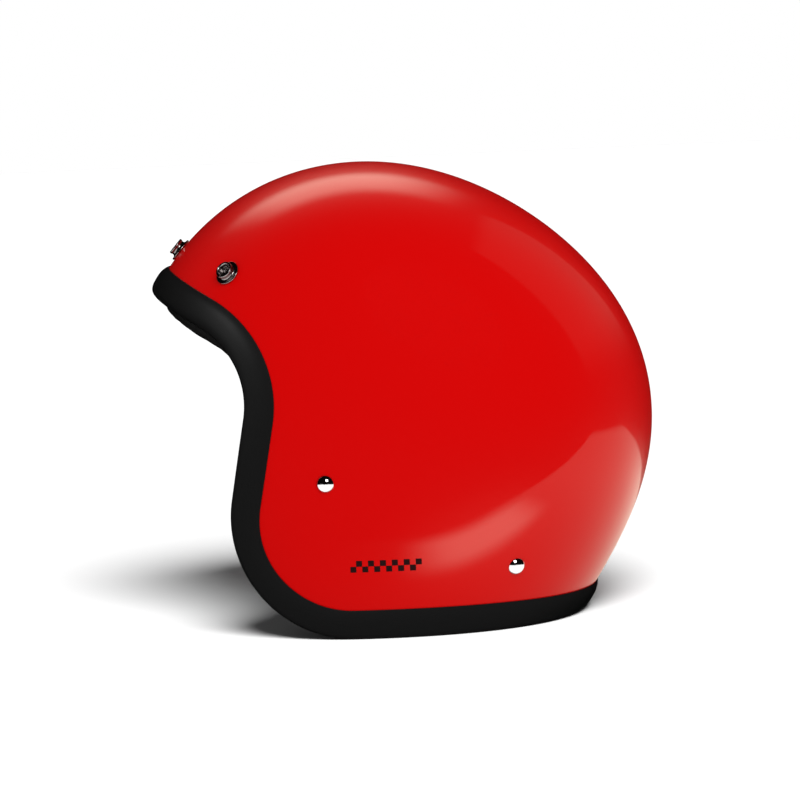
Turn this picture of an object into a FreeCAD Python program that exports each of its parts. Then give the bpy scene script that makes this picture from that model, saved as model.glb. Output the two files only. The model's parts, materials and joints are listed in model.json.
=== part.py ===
import FreeCAD, Part
import math
import os

# Open-face motorcycle helmet, millimetres. The face looks along -Y, +X is the wearer's left, Z is up.
# It stands on its rubber edge trim, so Z = 0 is the surface it stands on.
# Every layer follows one skin: a side profile given by eight radii, and a half width, both less the depth.

# skin of the outer shell
HALF_WIDTH = 116.0
FULLNESS = 0.33            # 0 gives an ellipse across, 1 a box
CENTRE_Z = 93.2
CENTRE_Y = -1.4
# radii of the side profile, every 45 degrees from the rear over the crown to the front and round below
REAR, REAR_HIGH, TOP, FRONT_HIGH = 136.0, 140.8, 152.0, 158.8
FRONT, FRONT_LOW, BELOW, REAR_LOW = 147.8, 152.6, 158.3, 131.9
SIDE_RADII = (REAR, REAR_HIGH, TOP, FRONT_HIGH, FRONT, FRONT_LOW, BELOW, REAR_LOW)

# cut edge of the shell in side view: brow line, cheek line and flat hem, joined by two large rounds
BROW_Y, BROW_Z = -129.4, 184.5
TEMPLE_Y, TEMPLE_Z, TEMPLE_ROUND = -71.4, 152.7, 50.0
JAW_Y, JAW_ROUND = -99.5, 58.0
HEM_Z = 5.2

# layers, as depths below the skin
SHELL_WALL = 3.2
LAYER_GAP = 0.3
LINER_WALL = 20.5
CROWN_PAD_WALL = 8.5
PAD_BOARD_WALL = 1.2
CHEEK_PAD_WALL = 26.0
BROW_PAD_WALL = 25.0
NECK_ROLL_WALL = 13.0

# edge trim, a U section pushed over the cut edge
TRIM_LIP = 11.2            # outer leg, up the shell from its edge
TRIM_INNER_LIP = 9.4
TRIM_NOSE = 5.4            # beyond the edge
TRIM_PROUD = 3.0           # outer leg's thickness
TRIM_INNER = 3.3           # inner leg's thickness
TRIM_FIT = 0.15
TRIM_STATIONS = 72         # on each half

# insets of the soft parts from the cut edge, measured in side view
LINER_INSET = 13.0
CROWN_PAD_INSET = 20.0
BROW_PAD_DROP = 10.5       # how far the brow pad stands out beyond the cut edge
BROW_PAD_END_Z = 125.0
SIDE_SPACE_Y, SIDE_SPACE_Z, SIDE_SPACE_ROUND = 72.0, 103.0, 18.0
CROWN_PAD_BACK_Y, CROWN_PAD_LOW_Z = 82.0, 112.0
LINER_FOOT_Z = 19.0
CHEEK_PAD_INSET = 15.0
CHEEK_PAD_TOP_Z, CHEEK_PAD_BACK_Y, CHEEK_PAD_ROUND = 90.0, 42.0, 16.0
CHEEK_PAD_FOOT_Z = 19.5
CROWN_PAD_FOOT_Z = 40.0
NECK_ROLL_Z, NECK_ROLL_Y = 5.6, 44.0

# fasteners
RIVET_PLACES = ((-42.1, 83.5), (55.8, 34.3))
RIVET_HEAD, RIVET_DOME = 9.4, 2.6
RIVET_SHANK = 4.8
RIVET_TAIL, RIVET_TAIL_WALL = 7.6, 1.0
HOLE_FIT = 0.2
WASHER_LENGTH, WASHER_WIDTH, WASHER_WALL = 18.0, 14.0, 1.0
SNAP_RISE, SNAP_SIDE_RISE = 43.53, 48.73     # degrees above the front, seen from the side
SNAP_SPREAD = 28.58            # degrees that the outer two stand away from the mid-plane
SNAP_FLANGE, SNAP_FLANGE_WALL = 13.5, 1.0
SNAP_POST, SNAP_HEIGHT = 9.7, 4.5
SNAP_BORE, SNAP_FLOOR = 6.6, 1.6
EYELET_BARREL = 4.0
EYELET_POCKET = 1.0        # room round each eyelet in the liner
EYELET_FLANGE, EYELET_FLANGE_WALL = 9.0, 0.8
PAD_SNAP_PLACES = ((-60.0, 42.0), (4.0, 77.0), (30.0, 64.0))
PAD_SNAP_OUTER, PAD_SNAP_STUD = 12.0, 5.6

# webbing and its run: legs from the rivets to the two hinge lines just above the ground
LEG_WIDTH, LEG_WALL, LEG_GAP = 21.0, 1.8, 3.0     # gap from the shell's inside to the middle of the webbing
LEG_BOW = 1.0              # room for the webbing's bow under a flat washer
STRAP_WIDTH, STRAP_WALL = 25.0, 2.0
STRAP_INSET = 7.47         # hinge line inside the foot of the front leg
STRAP_Y, STRAP_Z = -9.4, 3.2
STRAP_SLEW = 13.0          # degrees that each half turns away from the other in plan
STRAP_GAP = 1.5
# legs in side view, each with its gap to the shell: from beyond the rivet down to the hem
FRONT_LEG = ((-47.7, 90.6, LEG_GAP), (-42.1, 83.5, LEG_GAP), (-28.4, 66.0, 2.7), (-16.4, 49.0, 2.4),
             (-10.9, 36.0, 3.0), (-9.4, 26.0, 5.0), (-9.4, 17.0, 6.7))
# and on to the hinge line: distance out from it, height above it
FRONT_LEG_TURN = ((6.6, 8.2), (4.5, 3.4), (2.4, 0.9))
REAR_LEG = ((65.0, 32.6, LEG_GAP), (55.8, 34.3, LEG_GAP), (34.0, 38.6, 3.1), (12.0, 43.2, 4.2),
            (-4.0, 46.6, 5.7), (-18.0, 49.6, 5.9))
LEG_STEP = 6.0             # spacing of the rows along a leg
BOARD_GAP = 0.8            # from the clenched rivets to the cheek boards

# left half: two D rings in a sewn loop
RING_WIRE = 4.0
RING_ROOM = 1.25           # beside the webbing, inside each ring
RING_REACH = 22.0
RING_CORNER = 4.5
RING_BAR_AT = 50.0
RING_FIT = 0.35
LOOP_TIP_AT = 36.0
SLEEVE_MARGIN, SLEEVE_PAD = 3.0, 2.1     # beyond the webbing at each side, and above and below it
SLEEVE_LEFT = (4.0, 32.0)
SLEEVE_RIGHT = (4.0, 56.0)
TAB_WIDTH, TAB_LENGTH, TAB_WALL = 11.0, 26.0, 1.2

# right half: long webbing with its tail folded back and snapped down
LONG_REACH = 118.0
TAIL_LENGTH = 50.0
TAIL_GAP = 0.5             # between the tail and the long webbing
TAIL_SNAP_AT = 74.0
TAIL_CAP, TAIL_CAP_DOME = 12.6, 1.8
TAIL_SKIRT, TAIL_STUD = 9.0, 5.8

# beyond every layer, for cutting
FAR = max(SIDE_RADII) + 16.0
TALL = CENTRE_Z + max(SIDE_RADII) + 28.0
V = FreeCAD.Vector
UP = V(0, 0, 1)
CENTRE = V(0, CENTRE_Y, CENTRE_Z)


# ---- the skin -------------------------------------------------------------------------------------

def side_radius(angle):
    """Profile radius at an angle from the rear: the one smooth periodic curve through the eight radii."""
    total = 0.0
    for k, radius in enumerate(SIDE_RADII):
        x = angle - k * math.pi / 4
        half = math.tan(x / 2)
        total += radius if abs(math.sin(x / 2)) < 1e-9 else radius * math.sin(4 * x) / (8 * half)
    return total


def skin(direction, depth):
    """Point of the layer at a depth, where a ray from the centre meets it."""
    d = V(direction)
    d.normalize()
    radius = side_radius(math.atan2(d.z, d.y)) - depth
    width = HALF_WIDTH - depth
    a = (d.x / width) ** 2
    b = (d.y ** 2 + d.z ** 2) / radius ** 2
    t = math.sqrt(2 / ((a + b) + math.sqrt((a + b) ** 2 - 4 * FULLNESS * a * b)))
    return CENTRE + d * t


def skin_at(y, z, depth):
    """Point of the layer on the +X side at a place in side view."""
    radius = side_radius(math.atan2(z - CENTRE_Z, y - CENTRE_Y)) - depth
    f = ((y - CENTRE_Y) ** 2 + (z - CENTRE_Z) ** 2) / radius ** 2
    return V((HALF_WIDTH - depth) * math.sqrt(max(0.0, 1 - f) / (1 - FULLNESS * f)), y, z)


def outward(point):
    """Unit normal of the skin above a point."""
    ray = point - CENTRE
    side = UP.cross(ray) if abs(ray.x) + abs(ray.y) > 1 else V(1, 0, 0)
    side.normalize()
    rise = ray.cross(side)
    rise.normalize()
    step = 0.5
    across = skin(ray + side * step, 0) - skin(ray - side * step, 0)
    along = skin(ray + rise * step, 0) - skin(ray - rise * step, 0)
    normal = across.cross(along)
    normal.normalize()
    return normal if normal.dot(ray) > 0 else normal * -1


EGGS = {}
POLE_ANGLE = math.radians(51.5)


def egg(depth):
    """Closed solid inside the layer at a depth: one pole up and back, the other in the open face."""
    if depth not in EGGS:
        turns, rises = 56, 28
        pole = V(0, math.cos(POLE_ANGLE), math.sin(POLE_ANGLE))
        back = V(0, math.sin(POLE_ANGLE), -math.cos(POLE_ANGLE))
        grid = []
        for i in range(turns + 1):
            angle = 2 * math.pi * (i % turns) / turns
            spoke = back * math.cos(angle) + V(math.sin(angle), 0, 0)
            row = []
            for j in range(rises + 1):
                lean = math.pi * j / rises
                reach = 0.0 if j in (0, rises) else math.sin(lean)
                row.append(skin(pole * math.cos(lean) + spoke * reach, depth))
            grid.append(row)
        surface = Part.BSplineSurface()
        surface.interpolate(grid)
        solid = Part.Solid(Part.Shell([surface.toShape()]))
        if solid.Volume < 0:
            solid.reverse()
        EGGS[depth] = solid
    return EGGS[depth]


def layer(top, wall):
    """Closed coat between two depths."""
    return egg(top).cut(egg(top + wall))


# ---- outlines in side view --------------------------------------------------------------------------

def rounded(corners):
    """Closed wire through corners (y, z, radius) at X = 0, with each round as an arc."""
    points = [V(0, y, z) for y, z, radius in corners]
    ends = []
    for i, (y, z, radius) in enumerate(corners):
        here = points[i]
        to_last = points[i - 1] - here
        to_next = points[(i + 1) % len(points)] - here
        half = to_last.getAngle(to_next) / 2
        to_last.normalize()
        to_next.normalize()
        cut = radius / math.tan(half)
        middle = to_last + to_next
        if radius:
            middle.normalize()
            middle = here + middle * (radius / math.sin(half) - radius)
        ends.append((here + to_last * cut, middle, here + to_next * cut, radius))
    edges = []
    for i, (start, middle, stop, radius) in enumerate(ends):
        if radius:
            edges.append(Part.Arc(start, middle, stop).toShape())
        edges.append(Part.LineSegment(stop, ends[(i + 1) % len(ends)][0]).toShape())
    return Part.Wire(edges)


def prism(corners, x_from=-FAR, x_to=FAR):
    """Solid bar across the helmet whose side view is a rounded outline."""
    bar = Part.Face(rounded(corners)).extrude(V(x_to - x_from, 0, 0))
    bar.translate(V(x_from, 0, 0))
    return bar


def meet(p, p_way, q, q_way):
    """Crossing of two lines in side view, each given by a point and a direction."""
    det = p_way[0] * q_way[1] - p_way[1] * q_way[0]
    t = ((q[0] - p[0]) * q_way[1] - (q[1] - p[1]) * q_way[0]) / det
    return p[0] + p_way[0] * t, p[1] + p_way[1] * t


def edge_lines(inset):
    """Brow line, cheek line and hem line moved into the shell by an inset: a point and a way each."""
    lines = []
    for start, stop in (((BROW_Y, BROW_Z), (TEMPLE_Y, TEMPLE_Z)), ((TEMPLE_Y, TEMPLE_Z), (JAW_Y, HEM_Z)),
                        ((JAW_Y, HEM_Z), (FAR, HEM_Z))):
        length = math.hypot(stop[0] - start[0], stop[1] - start[1])
        way = ((stop[0] - start[0]) / length, (stop[1] - start[1]) / length)
        lines.append(((start[0] - way[1] * inset, start[1] + way[0] * inset), way))
    return lines


def edge_corners(inset):
    """Temple and jaw corners of the cut edge at an inset, with their rounds."""
    brow, cheek, hem = edge_lines(inset)
    temple = meet(brow[0], brow[1], cheek[0], cheek[1])
    jaw = meet(cheek[0], cheek[1], hem[0], hem[1])
    return (temple[0], temple[1], TEMPLE_ROUND + inset), (jaw[0], jaw[1], JAW_ROUND - inset)


def inside_edge(inset):
    """Bar whose side view is everything inside the cut edge, moved in by an inset."""
    brow = edge_lines(inset)[0]
    temple, jaw = edge_corners(inset)
    front = meet(brow[0], brow[1], (-FAR, 0), (0, 1))
    return prism([(front[0], front[1], 0), temple, jaw, (FAR, jaw[1], 0), (FAR, TALL, 0), (-FAR, TALL, 0)])


def mirrored(shape):
    return shape.mirror(V(0, 0, 0), V(1, 0, 0))


# ---- small turned pieces ----------------------------------------------------------------------------

def turned(profile, place, way):
    """Solid of revolution from a profile of (radius, height) points, its axis set along a direction."""
    wire = Part.makePolygon([V(r, 0, h) for r, h in profile] + [V(profile[0][0], 0, profile[0][1])])
    solid = Part.Face(wire).revolve(V(0, 0, 0), UP, 360)
    solid.Placement = FreeCAD.Placement(place, FreeCAD.Rotation(UP, way))
    return solid


def dome(radius, rise, base, steps=8):
    """Profile points of a shallow dome from its edge at a base height to its top on the axis."""
    ball = (radius ** 2 + rise ** 2) / (2 * rise)
    reach = math.asin(min(1.0, radius / ball))
    if rise > ball:
        reach = math.pi - reach
    angles = [reach * (1 - k / steps) for k in range(steps + 1)]
    return [(ball * math.sin(a), base + rise - ball * (1 - math.cos(a))) for a in angles]


def brow_point(rise, spread):
    """Point of the skin at an angle above the front in side view and an angle away from the mid-plane."""
    rise, spread = math.radians(rise), math.radians(spread)
    return skin(V(math.sin(spread), -math.cos(spread) * math.cos(rise), math.cos(spread) * math.sin(rise)), 0)


# ---- bands of webbing -------------------------------------------------------------------------------

def sewn(faces):
    shell = Part.Shell(faces)
    shell.sewShape()
    solid = Part.Solid(shell)
    if solid.Volume < 0:
        solid.reverse()
    return solid


def slab(upper, lower):
    """Solid between two grids of points with ruled sides."""
    surfaces = []
    for grid in (upper, lower):
        surface = Part.BSplineSurface()
        surface.interpolate(grid)
        surfaces.append(surface)
    u0, u1, v0, v1 = surfaces[0].bounds()
    s0, s1, t0, t1 = surfaces[1].bounds()
    pairs = [(surfaces[0].uIso(u0), surfaces[1].uIso(s0)), (surfaces[0].uIso(u1), surfaces[1].uIso(s1)),
             (surfaces[0].vIso(v0), surfaces[1].vIso(t0)), (surfaces[0].vIso(v1), surfaces[1].vIso(t1))]
    sides = [Part.makeRuledSurface(a.toShape(), b.toShape()) for a, b in pairs]
    return sewn([surface.toShape() for surface in surfaces] + sides)


def webbing(rows, width, wall):
    """Flat band through rows of (centre, way across), both given from one end to the other."""
    upper, lower = [], []
    for i, (centre, across) in enumerate(rows):
        along = rows[min(i + 1, len(rows) - 1)][0] - rows[max(i - 1, 0)][0]
        normal = along.cross(across)
        normal.normalize()
        side = V(across)
        side.normalize()
        steps = (-1, -1 / 3, 1 / 3, 1)
        upper.append([centre + normal * (wall / 2) + side * (width / 2 * s) for s in steps])
        lower.append([centre - normal * (wall / 2) + side * (width / 2 * s) for s in steps])
    return slab(upper, lower)


def belt(circles):
    """Closed wire pulled tight round circles (x, z, radius), given anticlockwise, in the plane y = 0."""
    spans = []
    for i, (x, z, r) in enumerate(circles):
        nx, nz, nr = circles[(i + 1) % len(circles)]
        length = math.hypot(nx - x, nz - z)
        turn = math.atan2(nz - z, nx - x) - math.acos((r - nr) / length)
        normal = V(math.cos(turn), 0, math.sin(turn))
        spans.append((V(x, 0, z) + normal * r, V(nx, 0, nz) + normal * nr, turn))
    edges = []
    for i, (start, stop, turn) in enumerate(spans):
        edges.append(Part.LineSegment(start, stop).toShape())
        x, z, r = circles[(i + 1) % len(circles)]
        next_start, _, next_turn = spans[(i + 1) % len(spans)]
        if r:
            half = turn + ((next_turn - turn) % (2 * math.pi)) / 2
            edges.append(Part.Arc(stop, V(x + r * math.cos(half), 0, z + r * math.sin(half)), next_start).toShape())
    return Part.Wire(edges)


def across(wire, width):
    """Bar of a width centred on the strap, from a wire in its side plane."""
    bar = Part.Face(wire).extrude(V(0, width, 0))
    bar.translate(V(0, -width / 2, 0))
    return bar


def plank(start, stop, low, high, width):
    return Part.makeBox(stop - start, width, high - low, V(start, -width / 2, low))


foot_y, foot_z, foot_gap = FRONT_LEG[-1]
strap_x = skin_at(foot_y, foot_z, SHELL_WALL + foot_gap).x - STRAP_INSET
LEFT = FreeCAD.Placement(V(strap_x, STRAP_Y, STRAP_Z), FreeCAD.Rotation(UP, 180 - STRAP_SLEW))
RIGHT = FreeCAD.Placement(V(-strap_x, STRAP_Y, STRAP_Z), FreeCAD.Rotation(UP, -STRAP_SLEW))


def placed(shape, frame):
    shape = shape.copy()
    shape.Placement = frame.multiply(shape.Placement)
    return shape


PARTS = {}

# ---- outer shell: moulded composite, drilled for rivets and snaps --------------------------------------
shell = layer(0, SHELL_WALL).common(inside_edge(0))
rivet_seats = []
for y, z in RIVET_PLACES:
    seat = skin_at(y, z, 0)
    for point in (seat, V(-seat.x, seat.y, seat.z)):
        rivet_seats.append((point, outward(point)))
snap_points = [brow_point(SNAP_RISE, 0), brow_point(SNAP_SIDE_RISE, SNAP_SPREAD), brow_point(SNAP_SIDE_RISE, -SNAP_SPREAD)]
snap_seats = [(point, outward(point)) for point in snap_points]


def drilled(shape, seats, diameter, depth):
    for point, way in seats:
        shape = shape.cut(Part.makeCylinder(diameter / 2, 2 * depth, point - way * depth, way))
    return shape


shell = drilled(shell, rivet_seats, RIVET_SHANK + HOLE_FIT, 10)
shell = drilled(shell, snap_seats, EYELET_BARREL + HOLE_FIT, 10)
PARTS["outer_shell"] = shell


# ---- edge trim: one rubber U section round the whole cut edge -------------------------------------------

def edge_curve():
    """Cut edge on the +X side in even steps, from the mid-plane at the brow to the mid-plane at the nape."""
    brow, _, hem = edge_lines(0)
    corners = edge_corners(0)
    wire = rounded([(-FAR, meet(brow[0], brow[1], (-FAR, 0), (0, 1))[1], 0), corners[0], corners[1],
                    (FAR, HEM_Z, 0), (FAR, TALL, 0), (-FAR, TALL, 0)])
    edges = wire.OrderedEdges
    path = Part.Wire([e for e in edges if min(v.Z for v in e.Vertexes) < BROW_Z + 30 and
                      not all(abs(v.Y) > FAR - 1 for v in e.Vertexes)])
    line = path.discretize(Number=4000)
    if line[0].y > line[-1].y:
        line.reverse()
    held = [p for p in line if math.hypot(p.y - CENTRE_Y, p.z - CENTRE_Z)
            < side_radius(math.atan2(p.z - CENTRE_Z, p.y - CENTRE_Y))]
    ends = []
    for inner, outer in ((held[0], line[line.index(held[0]) - 1]), (held[-1], line[line.index(held[-1]) + 1])):
        for _ in range(40):
            half = (inner + outer) * 0.5
            inside = math.hypot(half.y - CENTRE_Y, half.z - CENTRE_Z) \
                < side_radius(math.atan2(half.z - CENTRE_Z, half.y - CENTRE_Y))
            inner, outer = (half, outer) if inside else (inner, half)
        ends.append(inner)
    # points close to the mid-plane are closer together, because the skin is steep there
    first = [ends[0] + (held[1] - ends[0]) * (k / 30) ** 2 for k in range(1, 30)]
    last = [ends[1] + (held[-2] - ends[1]) * (k / 30) ** 2 for k in range(29, 0, -1)]
    flat = [ends[0]] + first + held[1:-1] + last + [ends[1]]
    space = [skin_at(p.y, p.z, 0) for p in flat]
    space[0].x = space[-1].x = 0.0
    run = [0.0]
    for a, b in zip(space, space[1:]):
        run.append(run[-1] + (b - a).Length)
    points, k = [], 0
    for i in range(TRIM_STATIONS + 1):
        want = run[-1] * i / TRIM_STATIONS
        while k < len(run) - 2 and run[k + 1] < want:
            k += 1
        share = (want - run[k]) / (run[k + 1] - run[k])
        points.append(space[k] + (space[k + 1] - space[k]) * share)
    return points


def loop_poles(points):
    """Poles of the closed cubic curve that passes through the points."""
    poles = [V(p) for p in points]
    for _ in range(12):
        for i in range(len(poles)):
            near = poles[i - 1] + poles[(i + 1) % len(poles)]
            poles[i] = (points[i] * 6 - near) * 0.25
    return poles


def trim_body():
    half = edge_curve()
    loop = half + [V(-p.x, p.y, p.z) for p in half[-2:0:-1]]
    inner = SHELL_WALL + TRIM_INNER
    fit = TRIM_FIT
    # poles of the U section: distance into the shell from its edge, depth below the skin
    section = [(TRIM_LIP, -fit), (TRIM_LIP, -0.5), (TRIM_LIP - 1.2, -1.3), (8.0, -2.3), (5.0, -TRIM_PROUD + 0.1),
               (1.5, -TRIM_PROUD), (-2.2, -TRIM_PROUD), (-TRIM_NOSE + 0.3, -1.6), (-TRIM_NOSE - 0.2, 1.6),
               (-TRIM_NOSE + 0.3, inner - 1.6), (-2.2, inner), (1.5, inner), (5.0, inner - 0.1), (8.0, inner - 0.9),
               (TRIM_INNER_LIP, inner - 2.0), (TRIM_INNER_LIP, SHELL_WALL + fit), (8.4, SHELL_WALL + fit),
               (5.0, SHELL_WALL + fit), (1.0, SHELL_WALL + fit), (-1.1, SHELL_WALL + fit), (-1.1, SHELL_WALL - 1),
               (-1.1, SHELL_WALL / 2), (-1.1, 1.0), (-1.1, -fit), (1.0, -fit), (5.0, -fit), (9.0, -fit)]
    columns = [[] for _ in section]
    for i, point in enumerate(loop):
        way = loop[(i + 1) % len(loop)] - loop[i - 1]
        way.normalize()
        inward = outward(point).cross(way)
        inward.normalize()
        if inward.dot(V(0, CENTRE_Y - point.y + 60, CENTRE_Z - point.z + 60)) < 0:
            inward = inward * -1
        for column, (reach, depth) in zip(columns, section):
            column.append(skin(point + inward * reach - CENTRE, depth))
    poles = [loop_poles(column) for column in columns]
    count_u, count_v = len(poles), len(poles[0])
    surface = Part.BSplineSurface()
    surface.buildFromPolesMultsKnots(poles, [1] * (count_u + 1), [1] * (count_v + 1),
                                     [float(k) for k in range(count_u + 1)], [float(k) for k in range(count_v + 1)],
                                     True, True, 3, 3)
    solid = Part.Solid(Part.Shell([surface.toShape()]))
    if solid.Volume < 0:
        solid.reverse()
    return solid


PARTS["edge_trim"] = trim_body()

# ---- impact liner: moulded foam, open at both sides for the straps and cheek pads ------------------------
liner_top = SHELL_WALL + LAYER_GAP
side_space = [(-FAR, -40, 0), (SIDE_SPACE_Y, -40, 0), (SIDE_SPACE_Y, SIDE_SPACE_Z, SIDE_SPACE_ROUND),
              (-FAR, SIDE_SPACE_Z, 0)]
below_liner = [(-FAR, -40, 0), (FAR, -40, 0), (FAR, LINER_FOOT_Z, 0), (-FAR, LINER_FOOT_Z, 0)]
liner = layer(liner_top, LINER_WALL).common(inside_edge(LINER_INSET))
PARTS["impact_liner"] = liner.cut(prism(side_space)).cut(prism(below_liner))

# ---- crown pad: quilted comfort lining --------------------------------------------------------------------
pad_top = liner_top + LINER_WALL + LAYER_GAP
crown_space = [(-FAR, -40, 0), (CROWN_PAD_BACK_Y, -40, 0), (CROWN_PAD_BACK_Y, CROWN_PAD_LOW_Z, SIDE_SPACE_ROUND),
               (-FAR, CROWN_PAD_LOW_Z, 0)]
below_crown = [(-FAR, -40, 0), (FAR, -40, 0), (FAR, CROWN_PAD_FOOT_Z, 0), (-FAR, CROWN_PAD_FOOT_Z, 0)]
crown = layer(pad_top, CROWN_PAD_WALL).common(inside_edge(CROWN_PAD_INSET))
PARTS["crown_pad"] = crown.cut(prism(crown_space)).cut(prism(below_crown))

# ---- brow pad: soft roll from temple to temple, wrapped round the liner's front edge --------------------
brow_top = SHELL_WALL + TRIM_INNER + LAYER_GAP
below_brow = [(-FAR, -40, 0), (FAR, -40, 0), (FAR, BROW_PAD_END_Z, 0), (-FAR, BROW_PAD_END_Z, 0)]
brow = layer(brow_top, BROW_PAD_WALL).common(inside_edge(-BROW_PAD_DROP))
brow = brow.cut(inside_edge(LINER_INSET - LAYER_GAP)).cut(prism(below_brow))
behind_brow = [(-20, -40, 0), (FAR, -40, 0), (FAR, TALL, 0), (-20, TALL, 0)]
PARTS["brow_pad"] = brow.cut(prism(behind_brow))

# ---- neck roll: padded hem of the lining, round the nape ----------------------------------------------------
neck_box = [(NECK_ROLL_Y, NECK_ROLL_Z, 0), (FAR, NECK_ROLL_Z, 0), (FAR, LINER_FOOT_Z - LAYER_GAP, 0),
            (NECK_ROLL_Y, LINER_FOOT_Z - LAYER_GAP, 0)]
PARTS["neck_roll"] = layer(brow_top, NECK_ROLL_WALL).common(prism(neck_box))

# ---- cheek pads: foam on a thin board, snapped to the shell ---------------------------------------------------
cheek_line = edge_lines(CHEEK_PAD_INSET)[1]
cheek_top = meet(cheek_line[0], cheek_line[1], (0, CHEEK_PAD_TOP_Z), (1, 0))
cheek_foot = meet(cheek_line[0], cheek_line[1], (0, CHEEK_PAD_FOOT_Z), (1, 0))
cheek_outline = [(cheek_top[0], cheek_top[1], CHEEK_PAD_ROUND), (cheek_foot[0], cheek_foot[1], 2 * CHEEK_PAD_ROUND),
                 (CHEEK_PAD_BACK_Y, CHEEK_PAD_FOOT_Z, CHEEK_PAD_ROUND), (CHEEK_PAD_BACK_Y, CHEEK_PAD_TOP_Z, CHEEK_PAD_ROUND)]
cheek_bar = prism(cheek_outline, 1, FAR)
leg_face = SHELL_WALL + LEG_GAP + LEG_WALL / 2 + LEG_BOW
board_top = leg_face + WASHER_WALL + RIVET_TAIL_WALL + BOARD_GAP
board_foot = board_top + PAD_BOARD_WALL
pad_top = board_foot + LAYER_GAP
pad = layer(pad_top, CHEEK_PAD_WALL).common(cheek_bar)
board = layer(board_top, PAD_BOARD_WALL).common(cheek_bar)
pad_snap_seats = []
for y, z in PAD_SNAP_PLACES:
    point = skin_at(y, z, 0)
    pad_snap_seats.append((point, outward(point)))
board = drilled(board, pad_snap_seats, PAD_SNAP_STUD + HOLE_FIT, 20)
PARTS["cheek_pad_left"] = pad
PARTS["cheek_pad_right"] = mirrored(pad)
PARTS["cheek_board_left"] = board
PARTS["cheek_board_right"] = mirrored(board)

# ---- press snaps that hold the cheek pads: sockets glued inside the shell, studs riveted in the boards --------
sockets, studs = [], []
outer, stud = PAD_SNAP_OUTER / 2, PAD_SNAP_STUD / 2
for point, way in pad_snap_seats:
    face = -SHELL_WALL - LAYER_GAP
    mouth = -board_top + 0.4
    sockets.append(turned([(stud + 0.3, face), (outer, face), (outer, face - 2.2), (outer - 1.4, mouth),
                           (stud + 0.3, mouth)], point, way))
    studs.append(turned([(0, face - 1.2), (stud - 0.6, face - 1.2), (stud, face - 2.0), (stud, -board_foot),
                         (0, -board_foot)], point, way))
PARTS["cheek_snap_sockets"] = Part.Compound(sockets + [mirrored(s) for s in sockets])
PARTS["cheek_snap_studs"] = Part.Compound(studs + [mirrored(s) for s in studs])

# ---- strap rivets and their backing washers -------------------------------------------------------------------
rivets, washers = [], []
for point, way in rivet_seats:
    tail = -leg_face - WASHER_WALL - 0.05
    shank, clench = RIVET_SHANK / 2, RIVET_TAIL / 2
    rivets.append(turned(dome(RIVET_HEAD / 2, RIVET_DOME, 0.1) + [
        (0, tail - RIVET_TAIL_WALL), (clench - 0.5, tail - RIVET_TAIL_WALL), (clench, tail - 0.4),
        (clench, tail), (shank, tail), (shank, 0.1)], point, way))
    corner = WASHER_WIDTH * 0.36
    long_side, short_side = WASHER_LENGTH / 2 - corner, WASHER_WIDTH / 2 - corner
    plate = belt([(-long_side, -short_side, corner), (long_side, -short_side, corner),
                  (long_side, short_side, corner), (-long_side, short_side, corner)])
    plate = Part.Face(plate).extrude(V(0, WASHER_WALL, 0))
    plate = plate.cut(Part.makeCylinder(shank + HOLE_FIT / 2, 4, V(0, -1, 0), V(0, 1, 0)))
    plate.Placement = FreeCAD.Placement(point - way * (leg_face + WASHER_WALL), FreeCAD.Rotation(V(0, 1, 0), way))
    washers.append(plate)
PARTS["strap_rivets"] = Part.Compound(rivets)
PARTS["rivet_washers"] = Part.Compound(washers)

# ---- visor snaps: three studs across the brow, each clenched on an eyelet from inside ---------------------------
snap_studs, eyelets = [], []
flange, post, bore, barrel = SNAP_FLANGE / 2, SNAP_POST / 2, SNAP_BORE / 2, EYELET_BARREL / 2
neck, hollow, clench = post - 0.45, barrel + 0.1, barrel + 0.7
snap_profile = [
    (hollow, 0.05), (flange - 0.6, 0.05), (flange, 0.5), (flange - 0.2, SNAP_FLANGE_WALL),
    (post + 0.7, SNAP_FLANGE_WALL + 0.2), (neck, SNAP_FLANGE_WALL + 0.8), (neck, SNAP_HEIGHT - 2.0),
    (post, SNAP_HEIGHT - 1.6), (post, SNAP_HEIGHT - 0.5), (post - 0.7, SNAP_HEIGHT),
    (bore + 0.3, SNAP_HEIGHT - 0.3), (bore, SNAP_HEIGHT - 1.0), (bore, SNAP_FLOOR), (hollow, SNAP_FLOOR)]
under = -SHELL_WALL - 0.25
eyelet_profile = [
    (0, under - EYELET_FLANGE_WALL), (EYELET_FLANGE / 2, under - EYELET_FLANGE_WALL),
    (EYELET_FLANGE / 2, under - 0.1), (barrel, under - 0.1), (barrel, SNAP_FLOOR + 0.05),
    (clench, SNAP_FLOOR + 0.05), (clench, SNAP_FLOOR + 0.5), (0.9, SNAP_FLOOR + 0.6),
    (0.5, SNAP_FLOOR + 0.2), (0, SNAP_FLOOR + 0.1)]
for point, way in snap_seats:
    snap_studs.append(turned(snap_profile, point, way))
    eyelets.append(turned(eyelet_profile, point, way))
PARTS["visor_snap_studs"] = Part.Compound(snap_studs)
PARTS["visor_snap_eyelets"] = Part.Compound(eyelets)
pocket_depth = SHELL_WALL + EYELET_FLANGE_WALL + 1.7
pocket = Part.Compound([Part.makeCylinder(EYELET_FLANGE / 2 + EYELET_POCKET, 6, point - way * pocket_depth, way)
                        for point, way in snap_seats])
PARTS["impact_liner"] = PARTS["impact_liner"].cut(pocket)


# ---- strap legs: webbing riveted to the shell, two a side, led down inside the trim -------------------------------

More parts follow.
